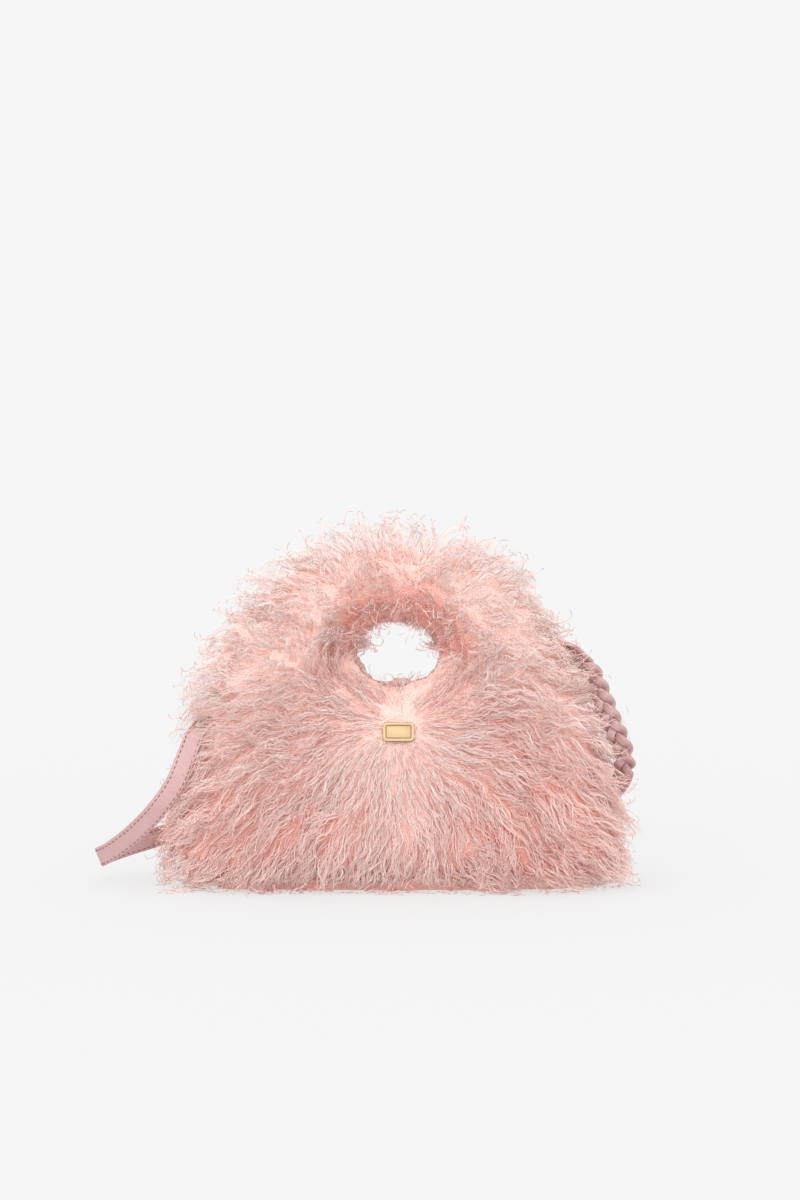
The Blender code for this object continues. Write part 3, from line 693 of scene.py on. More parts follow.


# %% [markdown]
# ## The colour of the wool
# Deep salmon near the skin and almost white further out. The deep root colour is painted shade for
# the depth of the pile, and each hair's tint also carries the painted shade of the place where it
# roots. Only the last fifth of a curl turns pink again. Wool also lets light through, so the shader
# is part reflecting and part see-through-to-light, with a faint painted glow: a pink emission that
# lifts the shade between dense hairs, in place of the light that a render loses there. The
# root-to-tip change reads the UV map's height, and each hair's tint its column.

# %% Wool
STRIPES = 3  # faint stripes along each hair, side by side, so that it doesn't look flat


def make_wool(name, tip, tip_start, glow_share):
    material, shader, start = new_material(name, 0.62, Specular_IOR_Level=0.15)
    uv = start.node("ShaderNodeUVMap", {"uv_map": "OFBake"})
    across = uv.node("ShaderNodeSeparateXYZ", Vector=uv)
    along = uv.node("ShaderNodeSeparateXYZ", output=1, Vector=uv)
    column_number = across * TINTS
    tint_and_shade = column_number.math("FLOOR") * (1 / TINTS)
    # painted shade: faint stripes darken and lighten each hair across its width, as of gaps between
    # finer hairs
    gap_shade = (column_number.math("FRACT") * (2 * math.pi * STRIPES)).math("SINE") * 0.05
    # painted shade: the root colours are a deeper salmon, for the shade inside the pile
    root_shade = tint_and_shade.mix((0.94, 0.52, 0.46, 1), (0.97, 0.855, 0.82, 1))
    pale = tint_and_shade.mix((0.98, 0.80, 0.76, 1), (0.965, 0.935, 0.915, 1))
    wool_colour = (along.step(0.05, 0.55) + gap_shade).clamped().mix(root_shade, pale)
    feed(along.step(tip_start, 1.0).mix(wool_colour, tip), shader, "Base Color")
    # painted glow: a faint pink emission lifts the shade between dense hairs, standing in for light
    # passed from hair to hair; the strays' wool glows the same
    shader.inputs["Emission Color"].default_value = (1.0, 0.56, 0.50, 1)
    shader.inputs["Emission Strength"].default_value = 0.035
    glow = start.node("ShaderNodeBsdfTranslucent", Color=(0.98, 0.86, 0.83, 1))
    solid = Value(start.tree, shader.outputs[0])
    both = start.node("ShaderNodeMixShader", _0=glow_share, _1=solid, _2=glow)
    feed(both, material.node_tree.nodes["Material Output"], "Surface")
    return material


wool = make_wool("pink wool", (0.92, 0.62, 0.57, 1), 0.8, 0.5)

# %% [markdown]
# ## Hair pieces
# All hairs in one mesh would be too heavy to handle, so they are parted by where they root: the
# handle, the left, right and low front, and the middle and low back.


# %% Part the hairs
def place_piece(mesh, material, name, slot, *stands_for):
    piece = bpy.data.objects.new(name, mesh)
    bpy.context.scene.collection.objects.link(piece)
    mesh.materials.append(material)
    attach(piece, "root")
    if stands_for:
        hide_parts(*stands_for)
    return piece


def triangle_count(piece):
    return sum(len(face.vertices) - 2 for face in piece.data.polygons)


def taper_of(points):
    """How thick a hair is at each of its points, from the root to the thin tip."""
    return np.interp(np.linspace(0, 1, points), [0, 0.15, 0.5, 0.8, 1], [0.8, 1, 0.8, 0.45, 0.1])


def tints_of(tones_and_shade):
    return np.clip(tones_and_shade * TINTS, 0, TINTS - 1).astype(int)


HANDLE_FROM, LOW_UP_TO = 118 * MM, 50 * MM
roots = strand_growth.places[owner]
front, left = roots[:, 1] < 0, roots[:, 0] < HOLE_PLACE[0]
high_up, low_down = roots[:, 2] > HANDLE_FROM, roots[:, 2] < LOW_UP_TO
middle = ~high_up & ~low_down
parts = {
    "curls_handle": high_up,
    "curls_front_left": front & middle & left,
    "curls_front_right": front & middle & ~left,
    "curls_front_low": front & low_down,
    "curls_back_middle": ~front & middle,
    "curls_back_low": ~front & low_down,
}
# each hair's tint carries the painted shade of the place where it roots, with random tone per lock
# and per hair
lock_tone = chance.normal(size=len(lock_growth.places)) * 0.13
tones_and_shade = tone_and_shade_of(roots) + lock_tone[own_lock[owner]] + chance.normal(size=len(owner)) * 0.07
tints = tints_of(tones_and_shade)
thickness = chance.uniform(0.5, 1.15, len(owner)) * HAIR_RADIUS
sideways = unit(strand_growth.side[owner] + chance.normal(size=roots.shape) * 0.3)
for name, chosen in parts.items():
    node = "shearling_back" if "back" in name else "shearling_front"
    radii = thickness[chosen, None] * taper_of(POINTS)
    mesh = tube_mesh(name, hairs[chosen], radii, tints[chosen], sideways[chosen], HAIR_FLATNESS)
    piece = place_piece(mesh, wool, name, "shearling", node)
    print(name, chosen.sum(), "hairs,", triangle_count(piece), "triangles")

# %% [markdown]
# ## Strays
# The outline of real fleece isn't a line. Single thin hairs leave the locks and end in small hooks,
# and their tips, worn and dyed deepest, are darker than the rest. Each stray starts part of the way
# along a strand and turns away from it, outwards, into a hook of its own.

# %% Strays
STRAYS = 1900
STRAY_RADIUS = 0.25 * MM
STRAY_POINTS = 9


def stray_paths():
    picks = chance.choice(np.flatnonzero(above_floor), STRAYS)
    start_at = chance.integers(5, POINTS - 2, STRAYS)
    starts = strand_paths[picks, start_at]
    ahead = unit(strand_paths[picks, start_at + 1] - starts)
    normal = strand_growth.normals[picks]
    tilt = chance.normal(size=(STRAYS, 3))
    away = unit(normal * 0.9 + ahead * 0.7 + tilt * 0.35)
    hook = unit(np.cross(away, tilt))
    along = np.linspace(0, 1, STRAY_POINTS)[None, :, None]
    length = column(chance.uniform(6, 13, STRAYS) * MM * (0.3 + 0.7 * strand_growth.loose[picks]))
    bend = column(chance.uniform(0.3, 0.75, STRAYS))
    paths = starts[:, None] + away[:, None] * length * np.sin(1.9 * along) * 0.9
    return paths + hook[:, None] * length * bend * along**2.2, picks


stray_hairs, stray_owner = stray_paths()
stray_hairs = above_the_floor(stray_hairs)
stray_hairs = np.clip(stray_hairs, low, high)
stray_radii = np.tile(np.linspace(1, 0.5, STRAY_POINTS) * STRAY_RADIUS, (STRAYS, 1))
mesh = tube_mesh("stray_hairs", stray_hairs, stray_radii, np.zeros(STRAYS),
                 strand_growth.side[stray_owner])
stray_wool = make_wool("dark tips", (0.50, 0.13, 0.11, 1), 0.3, 0.12)
both_skins = ("shearling_front", "shearling_back")
strays = place_piece(mesh, stray_wool, "stray_hairs", "shearling", *both_skins)
print("strays:", triangle_count(strays), "triangles")

# %% [markdown]
# ## The dense wool under the curls
# Between the curls one sees more wool, never the skin. The pile's own solids already have the right
# outer form. A copy of them is fused into one skin, smoothed like felt and sunk a few millimetres,
# so that the curls stand out of it. It is coloured a darker salmon than the hairs, which is painted
# shade for the depth between the curls.


# %% Sink and smooth the under-wool
VOXEL = 3.4 * MM
THIN_WOOL = 1.5 * MM
UNDER_SHARE, RIM_SHARE, BASE_SHARE = 0.5, 0.45, 0.45


def fuse_pile():
    """One closed skin round copies of the pile's solids."""
    bpy.ops.object.select_all(action="DESELECT")
    for name in ("shearling_front", "shearling_back", "shearling_base"):
        copy = bpy.data.objects.new(name + "_copy", nodes[name].data.copy())
        bpy.context.scene.collection.objects.link(copy)
        copy.select_set(True)
        bpy.context.view_layer.objects.active = copy
    bpy.ops.object.join()
    fused = bpy.context.object
    fused.name = fused.data.name = "under_wool"
    fused.data.materials.clear()
    for kind, settings in (
        ("REMESH", {"mode": "VOXEL", "voxel_size": VOXEL}),
        ("SMOOTH", {"factor": 0.6, "iterations": 7}),
    ):
        modifier = fused.modifiers.new(kind.lower(), kind)
        for key, setting in settings.items():
            setattr(modifier, key, setting)
        bpy.ops.object.modifier_apply(modifier=modifier.name)
    return fused


def sunk(places):
    """The places moved towards the hide. They keep about half of their distance from it, nearly all
    of it inside the rim of the grip hole, and almost nothing at the base."""
    found = [hide_tree.find_nearest(Vector(place)) for place in places]
    skin, depth = np.array([hit[0] for hit in found]), np.array([hit[3] for hit in found])
    rim = 1 - ramp(seen_apart(places, HOLE_PLACE), 26, 40)
    inner = 1 - ramp(np.abs(places[:, 1]), 7, 14)
    beside = np.abs(places[:, 0] - HOLE_PLACE[0]) / (32 * MM)
    kept = UNDER_SHARE + (RIM_SHARE + 0.1 * beside) * rim * inner
    kept -= BASE_SHARE * (1 - ramp(places[:, 2], 6, 16))
    moved = skin + (places - skin) * np.where(depth > THIN_WOOL, kept, 1)[:, None]
    moved[:, 2] = np.where(places[:, 2] < 3 * MM, places[:, 2], moved[:, 2])
    return np.maximum(moved, (-np.inf, -np.inf, 0))


def make_under_wool():
    under = fuse_pile()
    places = sunk(np.array([vertex.co for vertex in under.data.vertices]))
    under.data.vertices.foreach_set("co", places.astype(np.float32).ravel())
    # painted shade: the tone attribute makes the under-wool darker lower down, near the floor and
    # under the handle
    tone_and_shade = under.data.attributes.new("tone_and_shade", "FLOAT", "POINT")
    tone_and_shade.data.foreach_set("value", tone_and_shade_of(places).astype(np.float32))
    under.data.polygons.foreach_set("use_smooth", np.ones(len(under.data.polygons), bool))
    under.data.update()
    return under


def make_felt():
    material, shader, start = new_material("under-wool", 0.85, Specular_IOR_Level=0.1)
    place = place_on(start)
    clouds, curls = place.noise(260, 3), place.noise(900, 2)
    tone_and_shade = start.node("ShaderNodeAttribute", {"attribute_name": "tone_and_shade"}, output=2)
    mottled_and_shaded = (tone_and_shade * 0.8 + clouds.step(0.35, 0.65) * 0.2).clamped()
    # painted shade: darker salmon than the hairs, for the shade between the curls, mixed with
    # random clouds
    feed(mottled_and_shaded.mix((0.80, 0.38, 0.32, 1), (0.92, 0.66, 0.60, 1)), shader, "Base Color")
    feed((curls + clouds).bump(0.8, 2 * MM), shader, "Normal")
    return material


under_wool = make_under_wool()
under_wool.data.materials.append(make_felt())
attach(under_wool, "root")
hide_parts("shearling_base", "shearling_front", "shearling_back")
print("under-wool:", triangle_count(under_wool), "triangles")

# %% [markdown]
# ## Short fuzz round the grip hole
# The long curls are combed away from the grip hole, so there the eye meets the under-wool itself.
# On the real bag short fuzz covers it, worn by the hand. The fuzz roots on the under-wool's own
# triangles, picked by chance, and lies the same way as the curls round it.


# %% Fuzz
FUZZ = 1400
FUZZ_POINTS = 8
FUZZ_LENGTH = 8.5 * MM
FUZZ_CURL = 1.3 * MM
FUZZ_REACH, FUZZ_DEEP = 46 * MM, 32 * MM


def fuzz_roots():
    """Places on the under-wool round the hole, clear of the plaque, and the way out of it there."""
    corners = corners_of(under_wool.data)
    middles = corners.mean(1)
    near = (seen_apart(middles, HOLE_PLACE) < FUZZ_REACH) & (np.abs(middles[:, 1]) < FUZZ_DEEP)
    near &= from_plaque(middles) > 16 * MM
    picks = chance.choice(np.flatnonzero(near), FUZZ, replace=False)
    return middles[picks], normals_of(corners[picks])


def fuzz_paths(places, normals):
    along = np.linspace(0, 1, FUZZ_POINTS)[None, :, None]
    flow = flow_of(places, normals)
    side = np.cross(normals, flow)
    length = column(chance.uniform(0.6, 1.2, len(places)) * FUZZ_LENGTH)
    turns = column(chance.uniform(1.0, 1.8, len(places))) * along
    turn = 2 * math.pi * (turns + column(chance.random(len(places))))
    up = normals[:, None] * (length * 0.42 * np.sin(1.7 * along) - 0.6 * MM)
    curl = side[:, None] * np.sin(turn) + normals[:, None] * np.cos(turn)
    return places[:, None] + up + flow[:, None] * length * along + curl * FUZZ_CURL * along, side


fuzz_places, fuzz_normals = fuzz_roots()
fuzz, fuzz_side = fuzz_paths(fuzz_places, fuzz_normals)
fuzz_radii = chance.uniform(0.5, 1.1, len(fuzz))[:, None] * HAIR_RADIUS * taper_of(FUZZ_POINTS)
# the fuzz's tints carry the same painted shade of their place
fuzz_tints = tints_of(tone_and_shade_of(fuzz_places) + chance.normal(size=len(fuzz)) * 0.1)
mesh = tube_mesh("rim_fuzz", fuzz, fuzz_radii, fuzz_tints, fuzz_side, HAIR_FLATNESS)
rim_fuzz = place_piece(mesh, wool, "rim_fuzz", "shearling", *both_skins)
print("fuzz:", triangle_count(rim_fuzz), "triangles")

# %% [markdown]
# ## The strap's route
# The strap is a belt of calf leather. It leaves the left side of the bag, lies in a loop on the
# table, passes behind and comes up at the right, where it turns into a plait. The route is a list
# of given places, the same list as the solids follow. Between two places a smooth curve runs, which
# passes through both and looks one place further on each side. Each place also has the direction of
# the belt's width, so that the belt knows how far it is twisted there.

# %% Route
ROUTE = [  # across, deep, up in mm, then the way of the band's width
    (-99.5, 0.0, 97.2, (0, -1, 0)),
    (-103.0, 0.0, 98.5, (0, -1, 0)),
    (-112.0, -12.2, 90.0, (0.50, -0.75, -0.40)),
    (-117.5, -21.2, 77.9, (0.75, -0.25, -0.62)),
    (-124.4, -24.9, 61.6, (0.79, 0.05, -0.60)),
    (-136.0, -23.3, 45.0, (0.76, 0.15, -0.63)),
    (-148.9, -17.0, 31.1, (0.70, 0.15, -0.70)),
    (-161.0, -7.9, 20.5, (0.60, 0.05, -0.80)),
    (-167.9, 1.6, 15.4, (0.42, -0.25, -0.87)),
    (-165.1, 9.5, 15.8, (0.25, -0.25, -0.93)),
    (-155.0, 15.9, 18.6, (0.15, -0.10, -0.98)),
    (-142.0, 21.2, 21.9, (0.10, 0, -1)),
    (-128.0, 30.2, 24.9, (0.05, 0, -1)),
    (-110.0, 43.5, 25.7, (0, 0, -1)),
    (-85.0, 56.2, 23.3, (0, 0, -1)),
    (-50.0, 59.9, 19.5, (0, 0, -1)),
    (0.0, 61.0, 17.7, (0, 0, -1)),
    (50.0, 59.9, 20.8, (0.10, 0, -1)),
    (90.0, 51.4, 28.8, (0.35, -0.05, -0.93)),
    (114.0, 35.0, 40.0, (0.65, -0.20, -0.70)),
    (125.5, 18.0, 52.1, (0.85, -0.40, -0.25)),
    (130.5, 4.8, 64.0, (0.85, -0.50, 0.10)),
    (129.0, 0.0, 77.9, (0.85, -0.40, 0.28)),
    (123.0, -1.1, 93.0, (0.85, -0.35, 0.35)),
    (117.5, 0.0, 107.0, (0.85, -0.35, 0.35)),
    (111.5, 1.1, 120.5, (0.80, -0.40, 0.38)),
    (106.5, 2.1, 127.0, (0.70, -0.55, 0.48)),
    (99.6, 2.1, 134.5, (0.45, -0.80, 0.40)),
    (88.2, 0.0, 140.0, (0, -1, 0)),
    (85.0, 0.0, 138.5, (0, -1, 0)),
]
STRAP_WIDTH, STRAP_THICKNESS = 11.2 * MM, 2.4 * MM
FINE_STEP = 1.0 * MM


def read_lines(lines, index, at):
    """Each line's three numbers, read between its points at the numbers asked for."""
    return [
        np.stack([np.interp(at, index, line[:, axis]) for axis in range(3)], axis=1)
        for line in lines
    ]


def smooth_route():
    """Places each millimetre along the route, with the band's width direction and its face's."""
    rows = np.array([[x * MM, y * MM, z * MM, *edge] for x, y, z, edge in ROUTE])
    rows = np.concatenate([rows[:1], rows, rows[-1:]])
    t = np.linspace(0, 1, 24, endpoint=False)[:, None]
    fine = []
    for before, start, end, after in zip(rows, rows[1:], rows[2:], rows[3:]):
        bend = 2 * before - 5 * start + 4 * end - after
        fine.append(0.5 * (2 * start + (end - before) * t + bend * t**2
                           + (3 * start - before - 3 * end + after) * t**3))
    fine = np.concatenate([*fine, rows[-1:]])
    travel = np.concatenate([[0], np.cumsum(np.linalg.norm(np.diff(fine[:, :3], axis=0), axis=1))])
    even = np.linspace(0, travel[-1], int(travel[-1] / FINE_STEP))
    places, edges = read_lines((fine[:, :3], fine[:, 3:]), travel, even)
    ahead = unit(np.gradient(places, axis=0))
    across = unit(edges - ahead * np.sum(edges * ahead, axis=1, keepdims=True))
    return places, across, np.cross(ahead, across)


PLAIT_ROWS = 21, 26  # the rows of the route where the plait starts and ends
route = smooth_route()
plait_start, plait_end = (
    np.argmin(np.linalg.norm(route[0] - np.array(ROUTE[row][:3]) * MM, axis=1))
    for row in PLAIT_ROWS
)
print("the strap's route:", len(route[0]), "mm, plaited from", plait_start, "to", plait_end)

# %% [markdown]
# ## Bands laid on a route
# A leather band is modelled flat and straight on the bench: a bar, its long edges rounded, cut into
# short lengths. Then it is laid along the route. A vertex's place along the bar picks the place of
# the route, and its place across the bar and through it become steps sideways and outwards there.


# %% Bar and lay
def block(size, place):
    bpy.ops.object.select_all(action="DESELECT")
    bpy.ops.mesh.primitive_cube_add(size=1, location=place)
    made = bpy.context.object
    made.scale = size
    bpy.ops.object.transform_apply(location=True, rotation=False, scale=True)
    return made


def straight_bar(name, width, thickness, round_off, cuts):
    """A bar one unit long along y from 0, with rounded long edges and cuts across it."""
    bar = block((width, 1, thickness), (0, 0.5, 0))
    bar.name = bar.data.name = name
    choose_long_edges(bar, 1, 0.9)
    bpy.ops.mesh.bevel(offset=round_off, segments=3, profile=0.6)
    bpy.ops.object.mode_set(mode="OBJECT")
    choose_long_edges(bar, 1, 0.9)
    bpy.ops.mesh.subdivide(number_cuts=cuts)
    bpy.ops.object.mode_set(mode="OBJECT")
    return bar


def choose(piece, kind, wanted):
    """Goes into edit mode with the wanted edges or faces chosen."""
    bpy.ops.object.mode_set(mode="EDIT")
    bpy.ops.mesh.select_mode(type=kind)
    bpy.ops.mesh.select_all(action="DESELECT")
    bpy.ops.object.mode_set(mode="OBJECT")
    for part in piece.data.edges if kind == "EDGE" else piece.data.polygons:
        part.select = wanted(part)
    bpy.ops.object.mode_set(mode="EDIT")


def choose_long_edges(piece, axis, length):
    """Chooses the edges that reach further than the length along an axis."""
    places = piece.data.vertices

    def wanted(edge):
        one, other = (places[index].co[axis] for index in edge.vertices)
        return abs(one - other) > length

    choose(piece, "EDGE", wanted)


def lay(bar, places, across, out, widths=None):
    """Moves the bar's vertices onto the route."""
    flat = np.array([vertex.co for vertex in bar.data.vertices])
    at = np.clip(flat[:, 1], 0, 1) * (len(places) - 1)
    index = np.arange(len(places))
    place, side, face = read_lines((places, across, out), index, at)
    wide = np.ones(len(places)) if widths is None else widths
    sideways = flat[:, :1] * np.interp(at, index, wide)[:, None]
    moved = place + side * sideways + face * flat[:, 2:]
    edge = np.abs(flat[:, 0]) / np.abs(flat[:, 0]).max()
    attribute = bar.data.attributes.new("edge", "FLOAT", "POINT")
    attribute.data.foreach_set("value", edge.astype(np.float32))
    bar.data.vertices.foreach_set("co", moved.astype(np.float32).ravel())
    bar.data.update()
    face_outwards(bar)


def face_outwards(piece):
    bpy.ops.object.select_all(action="DESELECT")
    piece.select_set(True)
    bpy.context.view_layer.objects.active = piece
    bpy.ops.object.mode_set(mode="EDIT")
    bpy.ops.mesh.select_all(action="SELECT")
    bpy.ops.mesh.normals_make_consistent(inside=False)
    bpy.ops.object.mode_set(mode="OBJECT")
    bpy.ops.object.shade_smooth_by_angle(angle=math.radians(50))


# %% [markdown]
# ## Leather
# Calf leather is smooth with a fine grain: a net of tiny pebbles, seen best where light grazes it.
# The cut edges are sealed with a paint a little darker than the face. The net comes from a Voronoi
# texture, the clouds of the dye from a large noise.


# %% Leather
def make_leather(name, low, high, edge_colour):
    material, shader, start = new_material(name, 0.48, Specular_IOR_Level=0.4)
    place = place_on(start)
    pebbles = start.node("ShaderNodeTexVoronoi", {"feature": "SMOOTH_F1"}, Vector=place, Scale=1300)
    wrinkles, clouds = place.noise(420, 3), place.noise(60, 2)
    edge = start.node("ShaderNodeAttribute", {"attribute_name": "edge"}, output=2)
    face = clouds.step(0.3, 0.7).mix(low, high)
    feed(edge.step(0.90, 0.97).mix(face, edge_colour), shader, "Base Color")
    feed(wrinkles * 0.2 + 0.38, shader, "Roughness")
    feed((pebbles + wrinkles).bump(0.35, 0.6 * MM), shader, "Normal")
    return material


leather = make_leather("pink calf leather", (0.49, 0.315, 0.31, 1), (0.53, 0.345, 0.34, 1),
                       (0.42, 0.23, 0.225, 1))
plait_leather = make_leather("plaited leather", (0.49, 0.32, 0.315, 1), (0.56, 0.39, 0.385, 1),
                             (0.43, 0.24, 0.235, 1))

# %% [markdown]
# ## Strap and tab
# The flat belt ends where the plait starts, and a short tab joins the plait's upper end to the bag.

# %% Lay the strap and the tab
BELT_EDGE = 0.7 * MM


def route_part(start, end):
    return [line[start:end + 1] for line in route]


def make_band(name, start, end):
    band = straight_bar(name, STRAP_WIDTH, STRAP_THICKNESS, BELT_EDGE, end - start)
    lay(band, *route_part(start, end))
    return finished(band, leather, name)


def finished(piece, material, node):
    piece.name = piece.data.name = "shown_" + node
    piece.data.materials.append(material)
    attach(piece, "root")
    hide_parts(node)
    return piece


strap = make_band("strap", 0, plait_start)
tab = make_band("strap_tab", plait_end, len(route[0]) - 1)
print("strap and tab:", triangle_count(strap) + triangle_count(tab), "triangles")

# %% [markdown]
# ## Plait
# Three flat laces cross in turn. Each one swings from side to side like a sine, a third of a turn
# after the one before, and rides over and under at twice that pace. Near both ends they straighten
# out and lie side by side, as wide as the strap that they are cut from.

# %% Lay the laces
LACE_WIDTH, LACE_THICKNESS, LACE_EDGE = 4.9 * MM, 2.1 * MM, 0.85 * MM
PLAIT_WIDTH, PLAIT_THICKNESS = 13.0 * MM, 6.6 * MM
CROSSINGS = 15


def ease(numbers):
    numbers = np.clip(numbers, 0, 1)
    return numbers * numbers * (3 - 2 * numbers)


def make_lace(number):
    places, across, out = route_part(plait_start, plait_end)
    along = np.linspace(0, 1, len(places))
    last = CROSSINGS * math.pi / 3
    shift = 2 * math.pi * number / 3
    phase = last * along + shift
    end_phase = np.where(along < 0.5, 0, last) + shift
    lane = np.round(np.sin(end_phase) / math.sin(math.pi / 3)) * STRAP_WIDTH / 3
    from_end = np.minimum(along, 1 - along) * CROSSINGS
    plaited = ease(from_end)
    swing = (PLAIT_WIDTH - LACE_WIDTH) / 2 * np.sin(phase)
    sideways = lane * (1 - plaited) + swing * plaited
    outward = (PLAIT_THICKNESS - LACE_THICKNESS) / 2 * np.sin(2 * phase) * ease(2 * from_end)
    path = places + across * sideways[:, None] + out * outward[:, None]
    ahead = unit(np.gradient(path, axis=0))
    face = unit(out - ahead * np.sum(out * ahead, axis=1, keepdims=True))
    lace = straight_bar(f"lace_{number}", LACE_WIDTH, LACE_THICKNESS, LACE_EDGE, 2 * len(places))
    narrow = STRAP_WIDTH / 3 / LACE_WIDTH
    lay(lace, path, np.cross(face, ahead), face, narrow + (1 - narrow) * plaited)
    return lace


lace_nodes = sorted(name for name in nodes if "plait" in name or "lace" in name)
for number, node in enumerate(lace_nodes):
    finished(make_lace(number), plait_leather, node)
print("laces:", lace_nodes)

# %% [markdown]
# ## Stitches
# Two rows of thread hold the strap's two layers together. Each stitch is a short bar of thread that
# sinks at both ends. They are tubes like the hairs, so the same function makes them.

# %% Sew
STITCH_PITCH = 3.2 * MM
STITCH_LENGTH = 2.3 * MM
STITCH_INSET = 1.5 * MM
STITCH_RISE = np.array([-0.25, 0.12, 0.22, 0.22, 0.12, -0.25]) * MM
THREAD_RADIUS = 0.30 * MM


def stitch_paths(start, end):
    found, sides = [], []
    step = STITCH_PITCH / FINE_STEP
    for middle in np.arange(start + step, end - step, step):
        at = middle + np.linspace(-0.5, 0.5, len(STITCH_RISE)) * STITCH_LENGTH / FINE_STEP
        place, side, face = read_lines(route, np.arange(len(route[0])), at)
        for row in (-1, 1):
            for surface in (-1, 1):
                inset = side * row * (STRAP_WIDTH / 2 - STITCH_INSET)
                rise = STRAP_THICKNESS / 2 + STITCH_RISE[:, None]
                found.append(place + inset + face * surface * rise)
                sides.append(side[2])
    return np.array(found), np.array(sides)


def make_stitches():
    on_strap = stitch_paths(0, plait_start)
    on_tab = stitch_paths(plait_end, len(route[0]) - 1)
    paths, sides = (np.concatenate(pair) for pair in zip(on_strap, on_tab))
    radii = np.tile([0.8, 1, 1, 1, 1, 0.8], (len(paths), 1)) * THREAD_RADIUS
    mesh = tube_mesh("strap_stitches", paths, radii, np.zeros(len(paths)), sides)
    thread, shader, start = new_material("rose thread", 0.6)
    twist = start.node("ShaderNodeTexWave", Vector=place_on(start), Scale=900, Distortion=2)
    feed(twist.mix((0.30, 0.08, 0.085, 1), (0.42, 0.14, 0.145, 1)), shader, "Base Color")
    return place_piece(mesh, thread, "strap_stitches", "strap_leather"), len(paths)


stitches, stitch_count = make_stitches()
print(stitch_count, "stitches,", triangle_count(stitches), "triangles")

# %% [markdown]
# ## Plaque
# A small cast plate in pale gold, on two posts through the hide. It is bare: a raised frame, a
# groove, and a raised field. One way to cut the groove is a Boolean. Insets and extrusions of the
# front face are quicker and leave clean edges for the bevel that catches the light.

# %% Cast the plaque
PLAQUE_CORNER = 2.4 * MM
PLAQUE_FRAME = 1.5 * MM
GROOVE_WIDTH, GROOVE_DEPTH = 0.5 * MM, 1.0 * MM
FIELD_RISE = 0.8 * MM
PLATE = 2.2 * MM
POST_RADIUS, POST_SPACING = 1.2 * MM, 9 * MM


def lies_at(height):
    """Tells faces that look up and lie at a height."""
    return lambda face: face.normal.z > 0.9 and abs(face.center.z - height) < 0.05 * MM


def make_plaque(width, tall):
    plaque = block((width, tall, PLATE), (0, 0, 0))
    choose_long_edges(plaque, 2, PLATE / 2)
    bpy.ops.mesh.bevel(offset=PLAQUE_CORNER, segments=7, profile=0.5)
    bpy.ops.object.mode_set(mode="OBJECT")
    choose(plaque, "FACE", lies_at(PLATE / 2))
    for inset, rise in ((PLAQUE_FRAME, -GROOVE_DEPTH), (GROOVE_WIDTH, FIELD_RISE)):
        bpy.ops.mesh.inset(thickness=inset, depth=0, use_even_offset=False)
        bpy.ops.mesh.extrude_region_move(TRANSFORM_OT_translate={"value": (0, 0, rise)})
    bpy.ops.object.mode_set(mode="OBJECT")
    in_groove = lies_at(PLATE / 2 - GROOVE_DEPTH)
    for face in plaque.data.polygons:
        face.material_index = int(in_groove(face))
    bevel = plaque.modifiers.new("soft edges", "BEVEL")
    bevel.width, bevel.segments, bevel.angle_limit = 0.12 * MM, 2, math.radians(35)
    bpy.ops.object.modifier_apply(modifier=bevel.name)
    return plaque


def make_gold():
    material, shader, start = new_material("pale gold", 0.3, Metallic=1.0)
    brushed = start.node("ShaderNodeMapping", Vector=place_on(start), Scale=(60, 900, 900))
    lines = brushed.noise(3, 3)
    feed(lines.mix((0.32, 0.225, 0.125, 1), (0.42, 0.31, 0.19, 1)), shader, "Base Color")
    feed(lines * 0.25 + 0.2, shader, "Roughness")
    return material


def make_patina():
    material, shader, start = new_material("patina", 0.55, Metallic=0.6)
    stains = place_on(start).noise(900, 2)
    feed(stains.mix((0.10, 0.035, 0.01, 1), (0.22, 0.09, 0.03, 1)), shader, "Base Color")
    return material


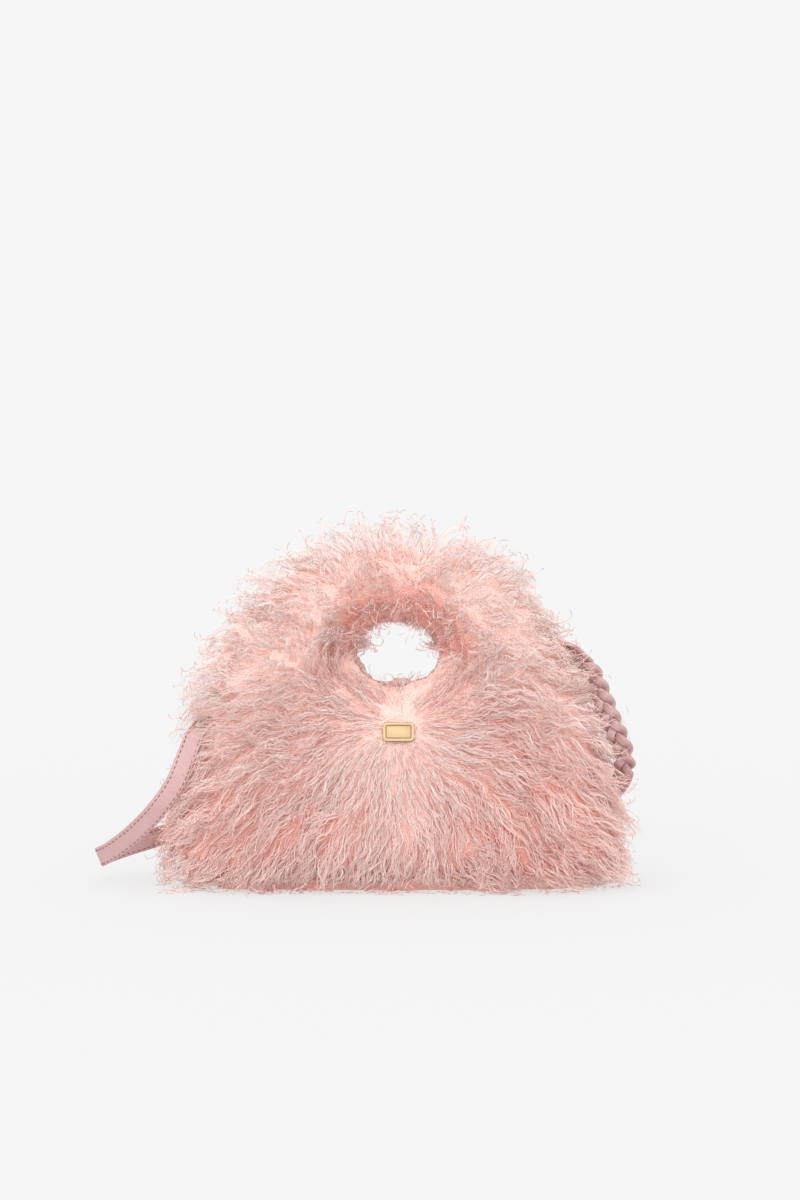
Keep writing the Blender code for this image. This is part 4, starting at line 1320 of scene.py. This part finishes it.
def seat_plaque():
    """Puts the plaque where the solid one is, square to the hide, with its two posts."""
    corners = triangles_of("plaque")
    faces = np.cross(corners[:, 1] - corners[:, 0], corners[:, 2] - corners[:, 0])
    outward = unit(faces[np.argmin(faces[:, 1])])
    right = np.array((1.0, 0.0, 0.0))
    axes = np.stack([right, np.cross(outward, right), outward])
    local = corners.reshape(-1, 3) @ axes.T
    low, high = local.min(0), local.max(0)
    plaque = make_plaque(high[0] - low[0], high[1] - low[1])
    middle = (low + high) / 2
    plate_middle = Vector((middle[0], middle[1], high[2] - PLATE / 2))
    length = plate_middle.z - low[2]
    for across in (-POST_SPACING / 2, POST_SPACING / 2):
        bpy.ops.mesh.primitive_cylinder_add(
            vertices=20, radius=POST_RADIUS, depth=length, location=(across, 0, -length / 2)
        )
        bpy.ops.object.transform_apply(location=True)
        plaque.select_set(True)
        bpy.context.view_layer.objects.active = plaque
        bpy.ops.object.join()
    turn = Matrix(axes.T.tolist()).to_4x4()
    plaque.data.transform(turn @ Matrix.Translation(plate_middle))
    face_outwards(plaque)
    plaque = finished(plaque, make_gold(), "plaque")
    plaque.data.materials.append(make_patina())
    return plaque


plaque = seat_plaque()
print("plaque:", triangle_count(plaque), "triangles")

# %% [markdown]
# ## Suede
# Only the inside of the pouch shows bare skin. Its solid is right as it is and gets a suede
# material: a soft nap, lighter and darker in clouds where a hand has brushed it.


# %% Suede for the pouch and the handle's padding
def make_suede():
    material, shader, start = new_material("suede", 0.95, Specular_IOR_Level=0.1)
    place = place_on(start)
    brushed, nap = place.noise(90, 4), place.noise(1500, 2)
    clouds = brushed * 0.7 + nap * 0.3
    feed(clouds.mix((0.42, 0.20, 0.17, 1), (0.60, 0.34, 0.30, 1)), shader, "Base Color")
    feed(nap.bump(0.5, 0.4 * MM), shader, "Normal")
    return material


suede = make_suede()
for name in ("pouch", "handle"):
    nodes[name].data.materials.clear()
    nodes[name].data.materials.append(suede)

# %% [markdown]
# ## Last
# The triangles of all the pieces that are shown are counted and printed.

# %% Measure and finish
shown = [piece for piece in bpy.data.objects if piece.type == "MESH" and piece.name not in nodes]
print(sum(triangle_count(piece) for piece in shown), "triangles in", len(shown), "pieces")
